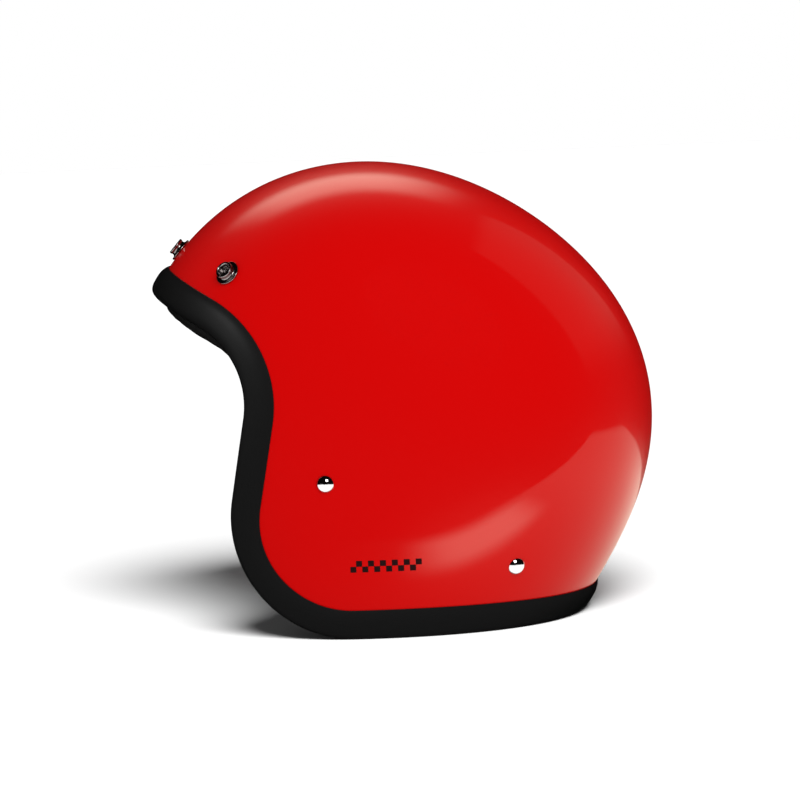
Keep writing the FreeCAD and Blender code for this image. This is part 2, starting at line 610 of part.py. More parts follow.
def side_rows(run):
    """Rows of a leg that lies along the shell, on one smooth curve through its places and gaps."""
    path = Part.BSplineCurve()
    path.interpolate([V(*place) for place in run])
    run = path.discretize(Number=max(4, round(path.length() / LEG_STEP)))
    rows = []
    for i, (y, z, gap) in enumerate(run):
        last, following = run[max(i - 1, 0)], run[min(i + 1, len(run) - 1)]
        way = V(0, following[0] - last[0], following[1] - last[1])
        here = skin_at(y, z, SHELL_WALL + gap)
        side = outward(here).cross(way)
        side.normalize()
        rows.append((here, side))
    return rows


def front_leg(frame, hand):
    """Leg from the front rivet down to the hinge line of one strap half; hand is +1 left, -1 right."""
    rows = [(V(hand * p.x, p.y, p.z), V(hand * side.x, side.y, side.z)) for p, side in side_rows(FRONT_LEG)]
    hinge = frame.Rotation.multVec(V(0, 1, 0))
    last = rows[-1][1]
    if hinge.dot(last) < 0:
        hinge = hinge * -1
    for out, up in FRONT_LEG_TURN + ((STRAP_GAP, 0.0),):
        share = min(1.0, 1.2 - out / 10)
        rows.append((frame.multVec(V(-out, 0, up)), last * (1 - share) + hinge * share))
    return webbing(rows, LEG_WIDTH, LEG_WALL)


rear_leg = webbing(side_rows(REAR_LEG), LEG_WIDTH, LEG_WALL)
for side, frame, hand in (("left", LEFT, 1), ("right", RIGHT, -1)):
    seats = [seat for seat in rivet_seats if seat[0].x * hand > 0]
    front = drilled(front_leg(frame, hand), seats, RIVET_SHANK + HOLE_FIT, 12)
    rear = drilled(rear_leg if hand > 0 else mirrored(rear_leg), seats, RIVET_SHANK + HOLE_FIT, 12)
    PARTS["strap_leg_front_" + side] = front
    PARTS["strap_leg_rear_" + side] = rear

# ---- left strap half: short webbing, comfort sleeve, two D rings and a release tab --------------------------------
half_wall = STRAP_WALL / 2
wire = RING_WIRE / 2
bar_room = wire + RING_FIT
lower_bar = wire + 0.3 - STRAP_Z + STRAP_WALL
upper_bar = lower_bar + RING_WIRE + TAB_WALL + 0.4
outer_loop = belt([(LOOP_TIP_AT, 0, half_wall), (RING_BAR_AT, lower_bar, bar_room + STRAP_WALL - 0.05),
                   (RING_BAR_AT, upper_bar, bar_room + STRAP_WALL)])
inner_loop = belt([(LOOP_TIP_AT + 6, 0.7, 0.3), (RING_BAR_AT, lower_bar, bar_room),
                   (RING_BAR_AT, upper_bar, bar_room)])
loop = across(outer_loop, STRAP_WIDTH).cut(across(inner_loop, STRAP_WIDTH + 2))
short_web = plank(0, LOOP_TIP_AT, -half_wall, half_wall, STRAP_WIDTH).fuse(loop).removeSplitter()
PARTS["short_webbing"] = placed(short_web, LEFT)


def sleeve(start, stop):
    """Padded tube of a flattened oval section round the webbing."""
    width, height = STRAP_WIDTH + 0.8, STRAP_WALL + 0.5
    round_end = STRAP_WALL / 2 + SLEEVE_PAD
    side = STRAP_WIDTH / 2 + SLEEVE_MARGIN - round_end
    outline = belt([(-side, 0, round_end), (side, 0, round_end)])
    room = Part.makeBox(width, 2 * (stop - start), height, V(-width / 2, -(stop - start) / 2, -height / 2))
    tube = Part.Face(outline).extrude(V(0, stop - start, 0)).cut(room)
    tube.Placement = FreeCAD.Placement(V(start, 0, 0), FreeCAD.Rotation(UP, -90))
    return tube


PARTS["sleeve_left"] = placed(sleeve(*SLEEVE_LEFT), LEFT)


def d_ring(height):
    """Ring of round wire: a straight bar across the strap and a bow beyond it."""
    half = STRAP_WIDTH / 2 + RING_ROOM + wire
    side, bow = half - RING_CORNER, half - 2.5
    path = belt([(-side, RING_CORNER, RING_CORNER), (side, RING_CORNER, RING_CORNER), (2.5, RING_REACH - bow, bow),
                 (-2.5, RING_REACH - bow, bow)])
    section = Part.Wire([Part.Circle(V(0, 0, 0), V(1, 0, 0), wire).toShape()])
    ring = path.makePipeShell([section], True, False)
    turn = FreeCAD.Rotation(V(0, 1, 0), V(0, 0, 1), V(1, 0, 0), "XYZ")
    ring.Placement = FreeCAD.Placement(V(RING_BAR_AT, 0, height), turn)
    return ring


PARTS["d_ring_lower"] = placed(d_ring(lower_bar), LEFT)
PARTS["d_ring_upper"] = placed(d_ring(upper_bar), LEFT)

tab_at = RING_BAR_AT + RING_REACH
tab_bore = wire + 0.2
tab_back = tab_at - 5       # room for the bow's curve within the tab's width
tab_outer = tab_bore + TAB_WALL
tab_out = across(belt([(tab_at, upper_bar, tab_outer), (tab_back, upper_bar, tab_outer)]), TAB_WIDTH)
tab_room = across(belt([(tab_at, upper_bar, tab_bore), (tab_back, upper_bar, tab_bore)]), 2 * TAB_WIDTH)
tab_grip = plank(tab_at + wire, tab_at + TAB_LENGTH, upper_bar - TAB_WALL, upper_bar + TAB_WALL, TAB_WIDTH)
tab = tab_out.fuse(tab_grip).cut(tab_room).removeSplitter()
PARTS["release_tab"] = placed(tab, LEFT)

# ---- right strap half: long webbing with a sleeve, its tail folded back and snapped down ---------------------------
cap, skirt, pin = TAIL_CAP / 2, TAIL_SKIRT / 2, TAIL_STUD / 2
tail_rise = STRAP_WALL + TAIL_GAP
snap_frame = V(TAIL_SNAP_AT, 0, 0)
long_web = plank(0, LONG_REACH, -half_wall, half_wall, STRAP_WIDTH)
long_web = long_web.cut(Part.makeCylinder(1.6, 6, snap_frame - UP * 3))
PARTS["long_webbing"] = placed(long_web, RIGHT)
PARTS["sleeve_right"] = placed(sleeve(*SLEEVE_RIGHT), RIGHT)
tail = plank(LONG_REACH - TAIL_LENGTH, LONG_REACH, tail_rise - half_wall, tail_rise + half_wall, STRAP_WIDTH)
tail = tail.cut(Part.makeCylinder(skirt + HOLE_FIT / 2, 8, snap_frame))
PARTS["tail_webbing"] = placed(tail, RIGHT)
cap_top = tail_rise + half_wall + 0.1
skirt_foot, bore = half_wall + 0.75, pin + 0.35
tail_cap = turned(dome(cap, TAIL_CAP_DOME, cap_top + 0.5) + [
    (0, cap_top), (bore, cap_top), (bore, skirt_foot), (skirt, skirt_foot), (skirt, cap_top), (cap, cap_top)],
    snap_frame, UP)
PARTS["tail_snap_cap"] = placed(tail_cap, RIGHT)
keeper = turned([(0, -half_wall - 0.9), (4.6, -half_wall - 0.9), (4.6, -half_wall - 0.1), (1.5, -half_wall - 0.1),
                 (1.5, half_wall + 0.1), (pin + 0.6, half_wall + 0.1), (pin + 0.6, half_wall + 0.35),
                 (pin - 0.4, half_wall + 0.5), (pin, half_wall + 1.4), (pin - 0.6, cap_top - 0.4),
                 (0, cap_top - 0.4)], snap_frame, UP)
PARTS["keeper_stud"] = placed(keeper, RIGHT)

os.makedirs("parts", exist_ok=True)
for name, shape in PARTS.items():
    shape.exportStep("parts/%s.step" % name)
box = Part.Compound(list(PARTS.values())).BoundBox
print("box", [round(v, 2) for v in (box.XMin, box.XMax, box.YMin, box.YMax, box.ZMin, box.ZMax)])
for name, shape in PARTS.items():
    print("%-24s solids %d  valid %s  volume %.0f" % (name, len(shape.Solids), shape.isValid(), shape.Volume))
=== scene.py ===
import json
import math

import bmesh
import bpy
import numpy as np
from mathutils import Matrix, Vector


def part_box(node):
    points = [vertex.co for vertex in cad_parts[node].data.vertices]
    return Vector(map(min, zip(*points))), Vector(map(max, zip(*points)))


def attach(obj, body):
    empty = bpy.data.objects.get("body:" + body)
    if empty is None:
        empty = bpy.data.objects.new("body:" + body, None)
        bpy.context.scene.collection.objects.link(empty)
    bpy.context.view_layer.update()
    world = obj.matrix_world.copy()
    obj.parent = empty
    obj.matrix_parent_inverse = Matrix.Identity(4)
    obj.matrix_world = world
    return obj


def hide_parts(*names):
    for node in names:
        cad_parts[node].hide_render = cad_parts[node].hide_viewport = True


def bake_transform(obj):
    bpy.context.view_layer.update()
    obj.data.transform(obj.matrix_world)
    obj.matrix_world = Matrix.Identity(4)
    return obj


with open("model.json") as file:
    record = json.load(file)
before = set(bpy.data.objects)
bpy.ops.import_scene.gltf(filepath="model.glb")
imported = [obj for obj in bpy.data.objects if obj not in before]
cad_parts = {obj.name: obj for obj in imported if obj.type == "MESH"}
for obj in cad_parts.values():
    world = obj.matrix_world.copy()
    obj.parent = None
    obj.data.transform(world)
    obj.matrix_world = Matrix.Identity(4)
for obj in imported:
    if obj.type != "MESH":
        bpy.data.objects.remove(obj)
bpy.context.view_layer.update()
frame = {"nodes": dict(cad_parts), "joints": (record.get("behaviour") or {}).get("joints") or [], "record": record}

# ---- Outer shell ------------------------------------------------------------------------------------
# One moulding of laminated composite, about 3 mm thick, sprayed red and clear coated, and bare inside. What
# is inside follows the same skin: a side profile of eight radii, a half width, and a depth below it.
MM = 0.001
HALF_WIDTH, FULLNESS = 116.0 * MM, 0.33
CENTRE = np.array([0.0, -1.4, 93.2]) * MM
SIDE_RADII = np.array([136.0, 140.8, 152.0, 158.8, 147.8, 152.6, 158.3, 131.9]) * MM
SHELL_WALL = 3.2 * MM
BROW = np.array([-129.4, 184.5]) * MM
TEMPLE, TEMPLE_ROUND = np.array([-71.4, 152.7]) * MM, 50.0 * MM
JAW, JAW_ROUND = np.array([-99.5, 5.2]) * MM, 58.0 * MM
NAPE = np.array([175.0, 5.2]) * MM
POLE = np.array([0.0, math.cos(math.radians(51.5)), math.sin(math.radians(51.5))])
POLE_BACK = np.array([0.0, POLE[2], -POLE[1]])
SIDEWAYS = np.array([1.0, 0.0, 0.0])


def side_radius(angle):
    """Profile radius at an angle from the rear: the one smooth periodic curve through the eight radii."""
    x = angle[..., None] - np.arange(8) * math.pi / 4
    near = np.abs(np.sin(x / 2)) < 1e-9
    safe = np.where(near, 1.0, x)
    weight = np.where(near, 1.0, np.sin(4 * safe) / (8 * np.tan(safe / 2)))
    return (weight * SIDE_RADII).sum(-1)


def skin(ray, depth):
    """Point where a ray from the centre meets the coat at a depth: rounded across, the profile along."""
    ray = ray / np.linalg.norm(ray, axis=-1, keepdims=True)
    across = (ray[..., 0] / (HALF_WIDTH - depth)) ** 2
    radius = side_radius(np.arctan2(ray[..., 2], ray[..., 1])) - depth
    along = (ray[..., 1] ** 2 + ray[..., 2] ** 2) / radius ** 2
    both = across + along
    reach = np.sqrt(2 / (both + np.sqrt(both ** 2 - 4 * FULLNESS * across * along)))
    return CENTRE + ray * reach[..., None]


def skin_at(y, z, depth):
    """Point of the coat at a depth on the +X side, at a place in side view."""
    radius = side_radius(np.arctan2(z - CENTRE[2], y - CENTRE[1])) - depth
    f = ((y - CENTRE[1]) ** 2 + (z - CENTRE[2]) ** 2) / radius ** 2
    x = (HALF_WIDTH - depth) * np.sqrt(np.clip(1 - f, 0, None) / (1 - FULLNESS * f))
    return np.stack([x, y + 0 * x, z + 0 * x], -1)


def outward(point):
    """Unit normal of the skin above each point, from two small steps along it."""
    ray = point - CENTRE
    side = np.cross([0.0, 0.0, 1.0], ray + 1e-6)
    side /= np.linalg.norm(side, axis=-1, keepdims=True)
    rise = np.cross(ray, side)
    rise /= np.linalg.norm(rise, axis=-1, keepdims=True)
    step = 0.4 * MM
    normal = np.cross(skin(ray + side * step, 0) - skin(ray - side * step, 0),
                      skin(ray + rise * step, 0) - skin(ray - rise * step, 0))
    normal /= np.linalg.norm(normal, axis=-1, keepdims=True)
    return normal * np.sign((normal * ray).sum(-1, keepdims=True))


def rounded_path(corners):
    """Open path in side view through corners (y, z, radius): straight runs joined by arcs."""
    corners = [(np.array(c[:2]), c[2]) for c in corners]
    path = [corners[0][0][None]]
    for (last, _), (here, radius), (following, _) in zip(corners, corners[1:], corners[2:]):
        to_last = (last - here) / np.linalg.norm(last - here)
        to_next = (following - here) / np.linalg.norm(following - here)
        half = math.acos(np.dot(to_last, to_next)) / 2
        middle = here + (to_last + to_next) / np.linalg.norm(to_last + to_next) * radius / math.sin(half)
        start, stop = here + to_last * radius / math.tan(half), here + to_next * radius / math.tan(half)
        first = math.atan2(*(start - middle)[::-1])
        turn = (math.atan2(*(stop - middle)[::-1]) - first + math.pi) % (2 * math.pi) - math.pi
        angles = first + turn * np.linspace(0, 1, 60)
        path.append(middle + radius * np.stack([np.cos(angles), np.sin(angles)], -1))
    path.append(corners[-1][0][None])
    path = np.concatenate(path)
    run = np.r_[0, np.cumsum(np.linalg.norm(np.diff(path, axis=0), axis=1))]
    even = np.linspace(0, run[-1], 3000)
    return np.stack([np.interp(even, run, path[:, 0]), np.interp(even, run, path[:, 1])], -1)


def offset_corners(inset):
    """Corners of the shell's cut edge, moved into the shell by an inset: brow, temple, jaw and nape."""
    lines = []
    for start, stop in ((BROW, TEMPLE), (TEMPLE, JAW), (JAW, NAPE)):
        way = (stop - start) / np.linalg.norm(stop - start)
        lines.append((start + np.array([-way[1], way[0]]) * inset, way))
    temple, jaw = (p + way * np.cross(q - p, other) / np.cross(way, other)
                   for (p, way), (q, other) in zip(lines, lines[1:]))
    front = lines[0][0] - lines[0][1] * 60 * MM
    return [(*front, 0), (*temple, TEMPLE_ROUND + inset), (*jaw, JAW_ROUND - inset), (NAPE[0], jaw[1], 0)]


def edge_loop(corners, depth, count):
    """Closed loop of points on a coat, over a side outline on +X and its mirror image on -X."""
    path = rounded_path(corners)
    rel = path - CENTRE[1:]
    room = side_radius(np.arctan2(rel[:, 1], rel[:, 0])) - depth - np.linalg.norm(rel, axis=1)
    held = np.flatnonzero(room > 0)
    start, stop = held[0], held[-1]
    ends = [path[i] + (path[j] - path[i]) * room[i] / (room[i] - room[j])
            for i, j in ((start, start - 1), (stop, stop + 1))]
    ease = np.linspace(0, 1, 60)[1:-1, None] ** 2
    first = ends[0] + (path[start + 1] - ends[0]) * ease
    last = ends[1] + (path[stop - 1] - ends[1]) * ease[::-1]
    path = np.concatenate([[ends[0]], first, path[start + 1:stop], last, [ends[1]]])
    space = skin_at(path[:, 0], path[:, 1], depth)
    space[[0, -1], 0] = 0
    run = np.r_[0, np.cumsum(np.linalg.norm(np.diff(space, axis=0), axis=1))]
    even = np.linspace(0, run[-1], count // 2 + 1)
    half = np.stack([np.interp(even, run, space[:, k]) for k in range(3)], -1)
    return np.concatenate([half, half[-2:0:-1] * [-1, 1, 1]])


def spoke_angles(points):
    """Turn about the pole and lean away from it, for points seen from the centre."""
    ray = (points - CENTRE) / np.linalg.norm(points - CENTRE, axis=-1, keepdims=True)
    return np.arctan2(ray @ SIDEWAYS, ray @ POLE_BACK), np.arccos(np.clip(ray @ POLE, -1, 1))


def cap(corners, depth, spokes, inset, depths, relief=None):
    """Grid of points round the pole. Each column is one ring, set by its depth and by its inset, which runs
    from 0 on the outline to 1 on the pole; relief adds to the depths."""
    turn, lean = spoke_angles(edge_loop(corners, depth, 2000))
    order = np.argsort(turn)
    turn, lean = turn[order], lean[order]
    angle = np.linspace(-math.pi, math.pi, spokes, endpoint=False)
    edge = np.interp(angle, turn, lean, period=2 * math.pi)
    share = np.clip((inset / inset.max())[None], 0, 1)
    lean = np.where(share > 0.999, 0.0, edge[:, None] * (1 - share))
    spoke = np.cos(angle)[:, None] * POLE_BACK + np.sin(angle)[:, None] * SIDEWAYS
    ray = np.cos(lean)[..., None] * POLE + np.sin(lean)[..., None] * spoke[:, None]
    depths = np.broadcast_to(depths, lean.shape)
    if relief is not None:
        depths = depths + relief(skin(ray, depths), depths)
    return skin(ray, depths)


def grid_piece(name, grid, round_u=True, round_v=False, uv=None):
    """Mesh over a grid of points, closed along either direction where asked, with its poles merged."""
    rows, columns = grid.shape[:2]
    u = np.arange(rows if round_u else rows - 1)
    v = np.arange(columns if round_v else columns - 1)
    a, b = np.meshgrid(u, v, indexing="ij")
    c, d = (a + 1) % rows, (b + 1) % columns
    faces = np.stack([a * columns + b, c * columns + b, c * columns + d, a * columns + d], -1).reshape(-1, 4)
    mesh = bpy.data.meshes.new(name)
    mesh.from_pydata(grid.reshape(-1, 3), [], faces.tolist())
    if uv is not None:
        layer = mesh.uv_layers.new(name="UVMap")
        layer.data.foreach_set("uv", uv.reshape(-1, 2)[faces.ravel()].astype(np.float32).ravel())
    work = bmesh.new()
    work.from_mesh(mesh)
    bmesh.ops.remove_doubles(work, verts=work.verts, dist=2e-6)
    bmesh.ops.recalc_face_normals(work, faces=work.faces)
    work.to_mesh(mesh)
    work.free()
    mesh.polygons.foreach_set("use_smooth", [True] * len(mesh.polygons))
    piece = bpy.data.objects.new(name, mesh)
    bpy.context.scene.collection.objects.link(piece)
    return piece


def new_material(name, color, roughness, metallic=0.0, **sockets):
    """Principled material; returns its node tree, its shader and a function that adds a linked node."""
    material = bpy.data.materials.new(name)
    material.use_nodes = True
    tree = material.node_tree
    shader = tree.nodes["Principled BSDF"]
    shader.inputs["Base Color"].default_value = (*color, 1)
    shader.inputs["Roughness"].default_value = roughness
    shader.inputs["Metallic"].default_value = metallic
    for socket, value in sockets.items():
        shader.inputs[socket.replace("_", " ")].default_value = value

    def add(kind, links=(), **settings):
        node = tree.nodes.new(kind)
        for key, value in settings.items():
            if hasattr(node, key):
                setattr(node, key, value)
            else:
                node.inputs[key.replace("_", " ")].default_value = value
        for socket, source in links:
            tree.links.new(source, node.inputs[socket])
        return node
    return material, tree, shader, add


SHELL_RED = (0.475, 0.0002, 0.0002)
shell_paint, tree, shader, add = new_material("red lacquer", SHELL_RED, 0.32, Coat_Weight=0.25,
                                              Coat_Roughness=0.035, Specular_IOR_Level=0.04)
place = add("ShaderNodeTexCoord").outputs["Object"]
peel = add("ShaderNodeTexNoise", [("Vector", place)], Scale=420.0, Detail=2.0)
peel_bump = add("ShaderNodeBump", [("Height", peel.outputs["Fac"])], Strength=0.012, Distance=0.0004)
tree.links.new(peel_bump.outputs["Normal"], shader.inputs["Coat Normal"])
flow = add("ShaderNodeTexNoise", [("Vector", place)], Scale=9.0, Detail=3.0)
tone = add("ShaderNodeMapRange", [("Value", flow.outputs["Fac"])], To_Min=0.30, To_Max=0.36)
tree.links.new(tone.outputs["Result"], shader.inputs["Roughness"])

EDGE_ROUND = 0.4 * MM
inset = np.r_[np.linspace(1, 0.02, 90), 0.0, 0.0, np.linspace(0.02, 1, 60)]
depths = np.r_[np.zeros(90), EDGE_ROUND, SHELL_WALL - EDGE_ROUND, np.full(60, SHELL_WALL)]
shell = grid_piece("shell_skin", cap(offset_corners(0), 0, 320, inset, depths))
shell.data.materials.append(shell_paint)
laminate = new_material("bare laminate", (0.02, 0.02, 0.02), 0.6)[0]
shell.data.materials.append(laminate)
for face in shell.data.polygons:
    face.material_index = int(np.dot(face.normal, np.array(face.center) - CENTRE) < 0)
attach(shell, "helmet")
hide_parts("outer_shell")

# ---- Edge trim ----------------------------------------------------------------------------------------
# One extruded rubber strip of U section, pushed over the shell's cut edge all round and glued. Its outer
# leg ends in a thin lip on the lacquer; the rubber is matt with a fine mould grain.
TRIM_POLES = np.array([
    (11.2, -0.15), (11.2, -0.5), (10.0, -1.3), (8.0, -2.3), (5.0, -2.9), (1.5, -3.0), (-2.2, -3.0),
    (-5.1, -1.6), (-5.6, 1.6), (-5.1, 4.9), (-2.2, 6.5), (1.5, 6.5), (5.0, 6.4), (8.0, 5.6), (9.4, 4.5),
    (9.4, 3.35), (8.4, 3.35), (5.0, 3.35), (1.0, 3.35), (-1.1, 3.35), (-1.1, 2.2), (-1.1, 1.6), (-1.1, 1.0),
    (-1.1, -0.15), (1.0, -0.15), (5.0, -0.15), (9.0, -0.15)]) * MM
TRIM_STATIONS = 520


def closed_curve(poles, per_span):
    """Points of the closed uniform cubic curve with these poles."""
    t = np.arange(per_span)[:, None, None] / per_span
    weights = ((1 - t) ** 3, 3 * t ** 3 - 6 * t ** 2 + 4, -3 * t ** 3 + 3 * t ** 2 + 3 * t + 1, t ** 3)
    spans = sum(w * np.roll(poles, 1 - k, axis=0)[None] / 6 for k, w in enumerate(weights))
    return spans.transpose(1, 0, 2).reshape(-1, poles.shape[1])


def edge_frame(count):
    """Even stations round the cut edge, and at each the way into the shell along its surface."""
    points = edge_loop(offset_corners(0), 0, count)
    along = np.roll(points, -1, axis=0) - np.roll(points, 1, axis=0)
    inward = np.cross(outward(points), along)
    inward /= np.linalg.norm(inward, axis=1, keepdims=True)
    middle = CENTRE + np.array([0, 60, 60]) * MM - points
    middle[:, 0] = 0
    return points, inward * np.sign((inward * middle).sum(1, keepdims=True))


def along_edge(points, inward, reach, depth):
    """Point of the skin a reach inside the cut edge, at a depth, for each station and each section point."""
    return skin(points[:, None] + inward[:, None] * reach[..., None] - CENTRE, depth)


section = closed_curve(TRIM_POLES, 4)
points, inward = edge_frame(TRIM_STATIONS)
trim_grid = along_edge(points, inward, section[None, :, 0], section[None, :, 1])
trim = grid_piece("edge_trim_strip", trim_grid, True, True)
rubber, tree, shader, add = new_material("black rubber", (0.0065, 0.0065, 0.0065), 0.46,
                                         Specular_IOR_Level=0.42)
place = add("ShaderNodeTexCoord").outputs["Object"]
grain = add("ShaderNodeTexVoronoi", [("Vector", place)], Scale=1500.0)
cloud = add("ShaderNodeTexNoise", [("Vector", place)], Scale=60.0, Detail=4.0)
rough = add("ShaderNodeMapRange", [("Value", cloud.outputs["Fac"])], To_Min=0.40, To_Max=0.54)
tree.links.new(rough.outputs["Result"], shader.inputs["Roughness"])
bump = add("ShaderNodeBump", [("Height", grain.outputs["Distance"])], Strength=0.22, Distance=0.00012)
tree.links.new(bump.outputs["Normal"], shader.inputs["Normal"])
trim.data.materials.append(rubber)
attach(trim, "helmet")
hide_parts("edge_trim")

# ---- Impact liner ---------------------------------------------------------------------------------------
# Moulded bead foam, glued inside the shell. It stops above the cheeks, so that the straps and the cheek
# pads have their room at the sides, and it runs down to the nape behind.
LINER_TOP, LINER_FOOT = 3.5 * MM, 24.0 * MM
SIDE_SPACE = np.array([72.0, 103.0]) * MM


def notched_corners(inset, temple_round, back, low, foot):
    """Outline of a lining piece: brow and temple at an inset, a notch over the side, a foot behind."""
    front, temple, jaw, _ = offset_corners(inset)
    share = (temple[1] - low) / (temple[1] - jaw[1])
    cheek = temple[0] + (jaw[0] - temple[0]) * share
    return [front, (temple[0], temple[1], temple_round), (cheek, low, 2 * MM), (back, low, 16 * MM),
            (back, foot, 8 * MM), (NAPE[0], foot, 0)]


def coat_profile(top, foot, rim, count):
    """Insets as shares, and depths, for a closed coat with rounded rims, from outer pole to inner pole."""
    turn = np.linspace(0, math.pi / 2, 7)
    reach = rim / (150 * MM)
    outer = np.r_[np.linspace(1, reach, count)[:-1], reach * (1 - np.sin(turn))]
    outer_depth = np.r_[np.full(count - 1, top), top + rim * (1 - np.cos(turn))]
    return (np.r_[outer, outer[::-1]], np.r_[outer_depth, (foot + top - outer_depth)[::-1]])


inset, depths = coat_profile(LINER_TOP, LINER_FOOT, 3 * MM, 50)
liner_outline = notched_corners(13 * MM, 63 * MM, *SIDE_SPACE, 19 * MM)
liner = grid_piece("bead_foam_liner", cap(liner_outline, LINER_TOP, 240, inset, depths))
foam, tree, shader, add = new_material("black bead foam", (0.018, 0.018, 0.019), 0.75)
place = add("ShaderNodeTexCoord").outputs["Object"]
beads = add("ShaderNodeTexVoronoi", [("Vector", place)], Scale=330.0)
tint = add("ShaderNodeMapRange", [("Value", beads.outputs["Distance"])], To_Min=0.9, To_Max=0.62)
tree.links.new(tint.outputs["Result"], shader.inputs["Roughness"])
bump = add("ShaderNodeBump", [("Height", beads.outputs["Distance"])], Strength=0.5, Distance=0.0006)
bump.invert = True
tree.links.new(bump.outputs["Normal"], shader.inputs["Normal"])
liner.data.materials.append(foam)
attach(liner, "helmet")
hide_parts("impact_liner")

# ---- Crown pad ------------------------------------------------------------------------------------------
# Comfort lining of brushed knit over soft foam, quilted in diamonds, held inside the bead foam.
CROWN_TOP, CROWN_FOOT = 24.3 * MM, 32.8 * MM
QUILT = 24.0 * MM


def quilting(point, depth):
    """Deeper in the middle of each diamond and pinched along the sewn lines, on the inner face only."""
    ray = point - CENTRE
    reach = np.linalg.norm(ray, axis=-1)
    along = np.arctan2(ray[..., 2], ray[..., 1]) * 120 * MM
    across = np.arcsin(np.clip(ray[..., 0] / reach, -1, 1)) * 120 * MM
    one_way = np.sin(math.pi * (along + across) / QUILT)
    other_way = np.sin(math.pi * (along - across) / QUILT)
    puff = np.abs(one_way * other_way) ** 0.45
    inner = np.clip((depth - CROWN_TOP) / (CROWN_FOOT - CROWN_TOP), 0, 1) ** 4
    return inner * (puff * 3.4 * MM - 2.6 * MM)


inset, depths = coat_profile(CROWN_TOP, CROWN_FOOT, 3.5 * MM, 150)
crown_outline = notched_corners(20 * MM, 40 * MM, 82 * MM, 112 * MM, 40 * MM)
crown = grid_piece("crown_pad_quilt", cap(crown_outline, CROWN_TOP, 300, inset, depths, quilting))
knit, tree, shader, add = new_material("brushed knit", (0.016, 0.016, 0.018), 0.85,
                                       Sheen_Weight=0.5, Sheen_Roughness=0.4)
place = add("ShaderNodeTexCoord").outputs["Object"]
loops = add("ShaderNodeTexVoronoi", [("Vector", place)], Scale=900.0)
fuzz = add("ShaderNodeTexNoise", [("Vector", place)], Scale=150.0, Detail=5.0)
shade = add("ShaderNodeMixRGB", [("Fac", fuzz.outputs["Fac"])])
shade.inputs[1].default_value = (0.011, 0.011, 0.012, 1)
shade.inputs[2].default_value = (0.026, 0.026, 0.029, 1)
tree.links.new(shade.outputs["Color"], shader.inputs["Base Color"])
bump = add("ShaderNodeBump", [("Height", loops.outputs["Distance"])], Strength=0.6, Distance=0.0003)
tree.links.new(bump.outputs["Normal"], shader.inputs["Normal"])
crown.data.materials.append(knit)
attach(crown, "helmet")
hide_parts("crown_pad")

# ---- Brow pad and neck roll -------------------------------------------------------------------------------
# Two leatherette rolls over foam close the lining: one from temple to temple behind the trim at the brow,
# and one behind the trim round the nape. Each has a sewn seam along it.


def edge_roll(name, keep, middle, half, dents=0.0):
    """Rounded roll along the stretch of the cut edge that keep picks, its ends drawn in, slightly gathered.
    Middle and half are its place and half size, first along the skin and then in depth."""
    stations, inward = edge_frame(900)
    chosen = np.flatnonzero(keep(stations))
    gap = np.flatnonzero(np.diff(chosen) > 1)
    if len(gap):
        chosen = np.r_[chosen[gap[0] + 1:], chosen[:gap[0] + 1]]
    stations, inward = stations[chosen], inward[chosen]
    run = np.r_[0, np.cumsum(np.linalg.norm(np.diff(stations, axis=0), axis=1))]
    end = np.clip(np.minimum(run, run[-1] - run) / (12 * MM), 0, 1)
    size = np.sqrt(1 - (1 - end) ** 2)[:, None]
    turn = np.linspace(0, 2 * math.pi, 72, endpoint=False)
    gather = dents * (np.sin(run[:, None] * 160) * np.sin(turn + 1) + 0.6 * np.sin(run[:, None] * 371 + 2))
    square = 0.62
    reach = middle[0] + half[0] * size * (np.sign(np.cos(turn)) * np.abs(np.cos(turn)) ** square) + gather
    depth = middle[1] + half[1] * size * (np.sign(np.sin(turn)) * np.abs(np.sin(turn)) ** square) + gather
    seam = np.exp(-((turn - 3.6) / 0.05) ** 2) * 0.9 * MM
    reach = reach + seam * size
    grid = along_edge(stations, inward, reach, depth)
    return grid_piece(name, grid, False, True)


leatherette, tree, shader, add = new_material("black leatherette", (0.012, 0.0115, 0.011), 0.42,
                                              Specular_IOR_Level=0.45)
place = add("ShaderNodeTexCoord").outputs["Object"]
pebble = add("ShaderNodeTexVoronoi", [("Vector", place)], Scale=620.0)
crease = add("ShaderNodeTexNoise", [("Vector", place)], Scale=90.0, Detail=6.0)
rough = add("ShaderNodeMapRange", [("Value", crease.outputs["Fac"])], To_Min=0.34, To_Max=0.5)
tree.links.new(rough.outputs["Result"], shader.inputs["Roughness"])
fine = add("ShaderNodeBump", [("Height", pebble.outputs["Distance"])], Strength=0.35, Distance=0.0003)
soft = add("ShaderNodeBump", [("Height", crease.outputs["Fac"]), ("Normal", fine.outputs["Normal"])],
           Strength=0.25, Distance=0.0008)
tree.links.new(soft.outputs["Normal"], shader.inputs["Normal"])
brow_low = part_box("brow_pad")[0].z
brow = edge_roll("brow_roll", lambda p: (p[:, 2] > brow_low) & (p[:, 1] < 0),
                 (1.2 * MM, 19.4 * MM), (11.4 * MM, 12.4 * MM), 0.12 * MM)
neck = edge_roll("nape_roll", lambda p: p[:, 1] > 46 * MM,
                 (7.0 * MM, 13.4 * MM), (6.4 * MM, 6.3 * MM), 0.1 * MM)
for roll, node in ((brow, "brow_pad"), (neck, "neck_roll")):
    roll.data.materials.append(leatherette)
    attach(roll, "helmet")
    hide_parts(node)

# ---- Cheek pads -------------------------------------------------------------------------------------------
# A crowned foam pad each side in the same knit, with a piped edge, on a thin moulded board.
PAD_OUTER, PAD_INNER = 12.4 * MM, 38.0 * MM


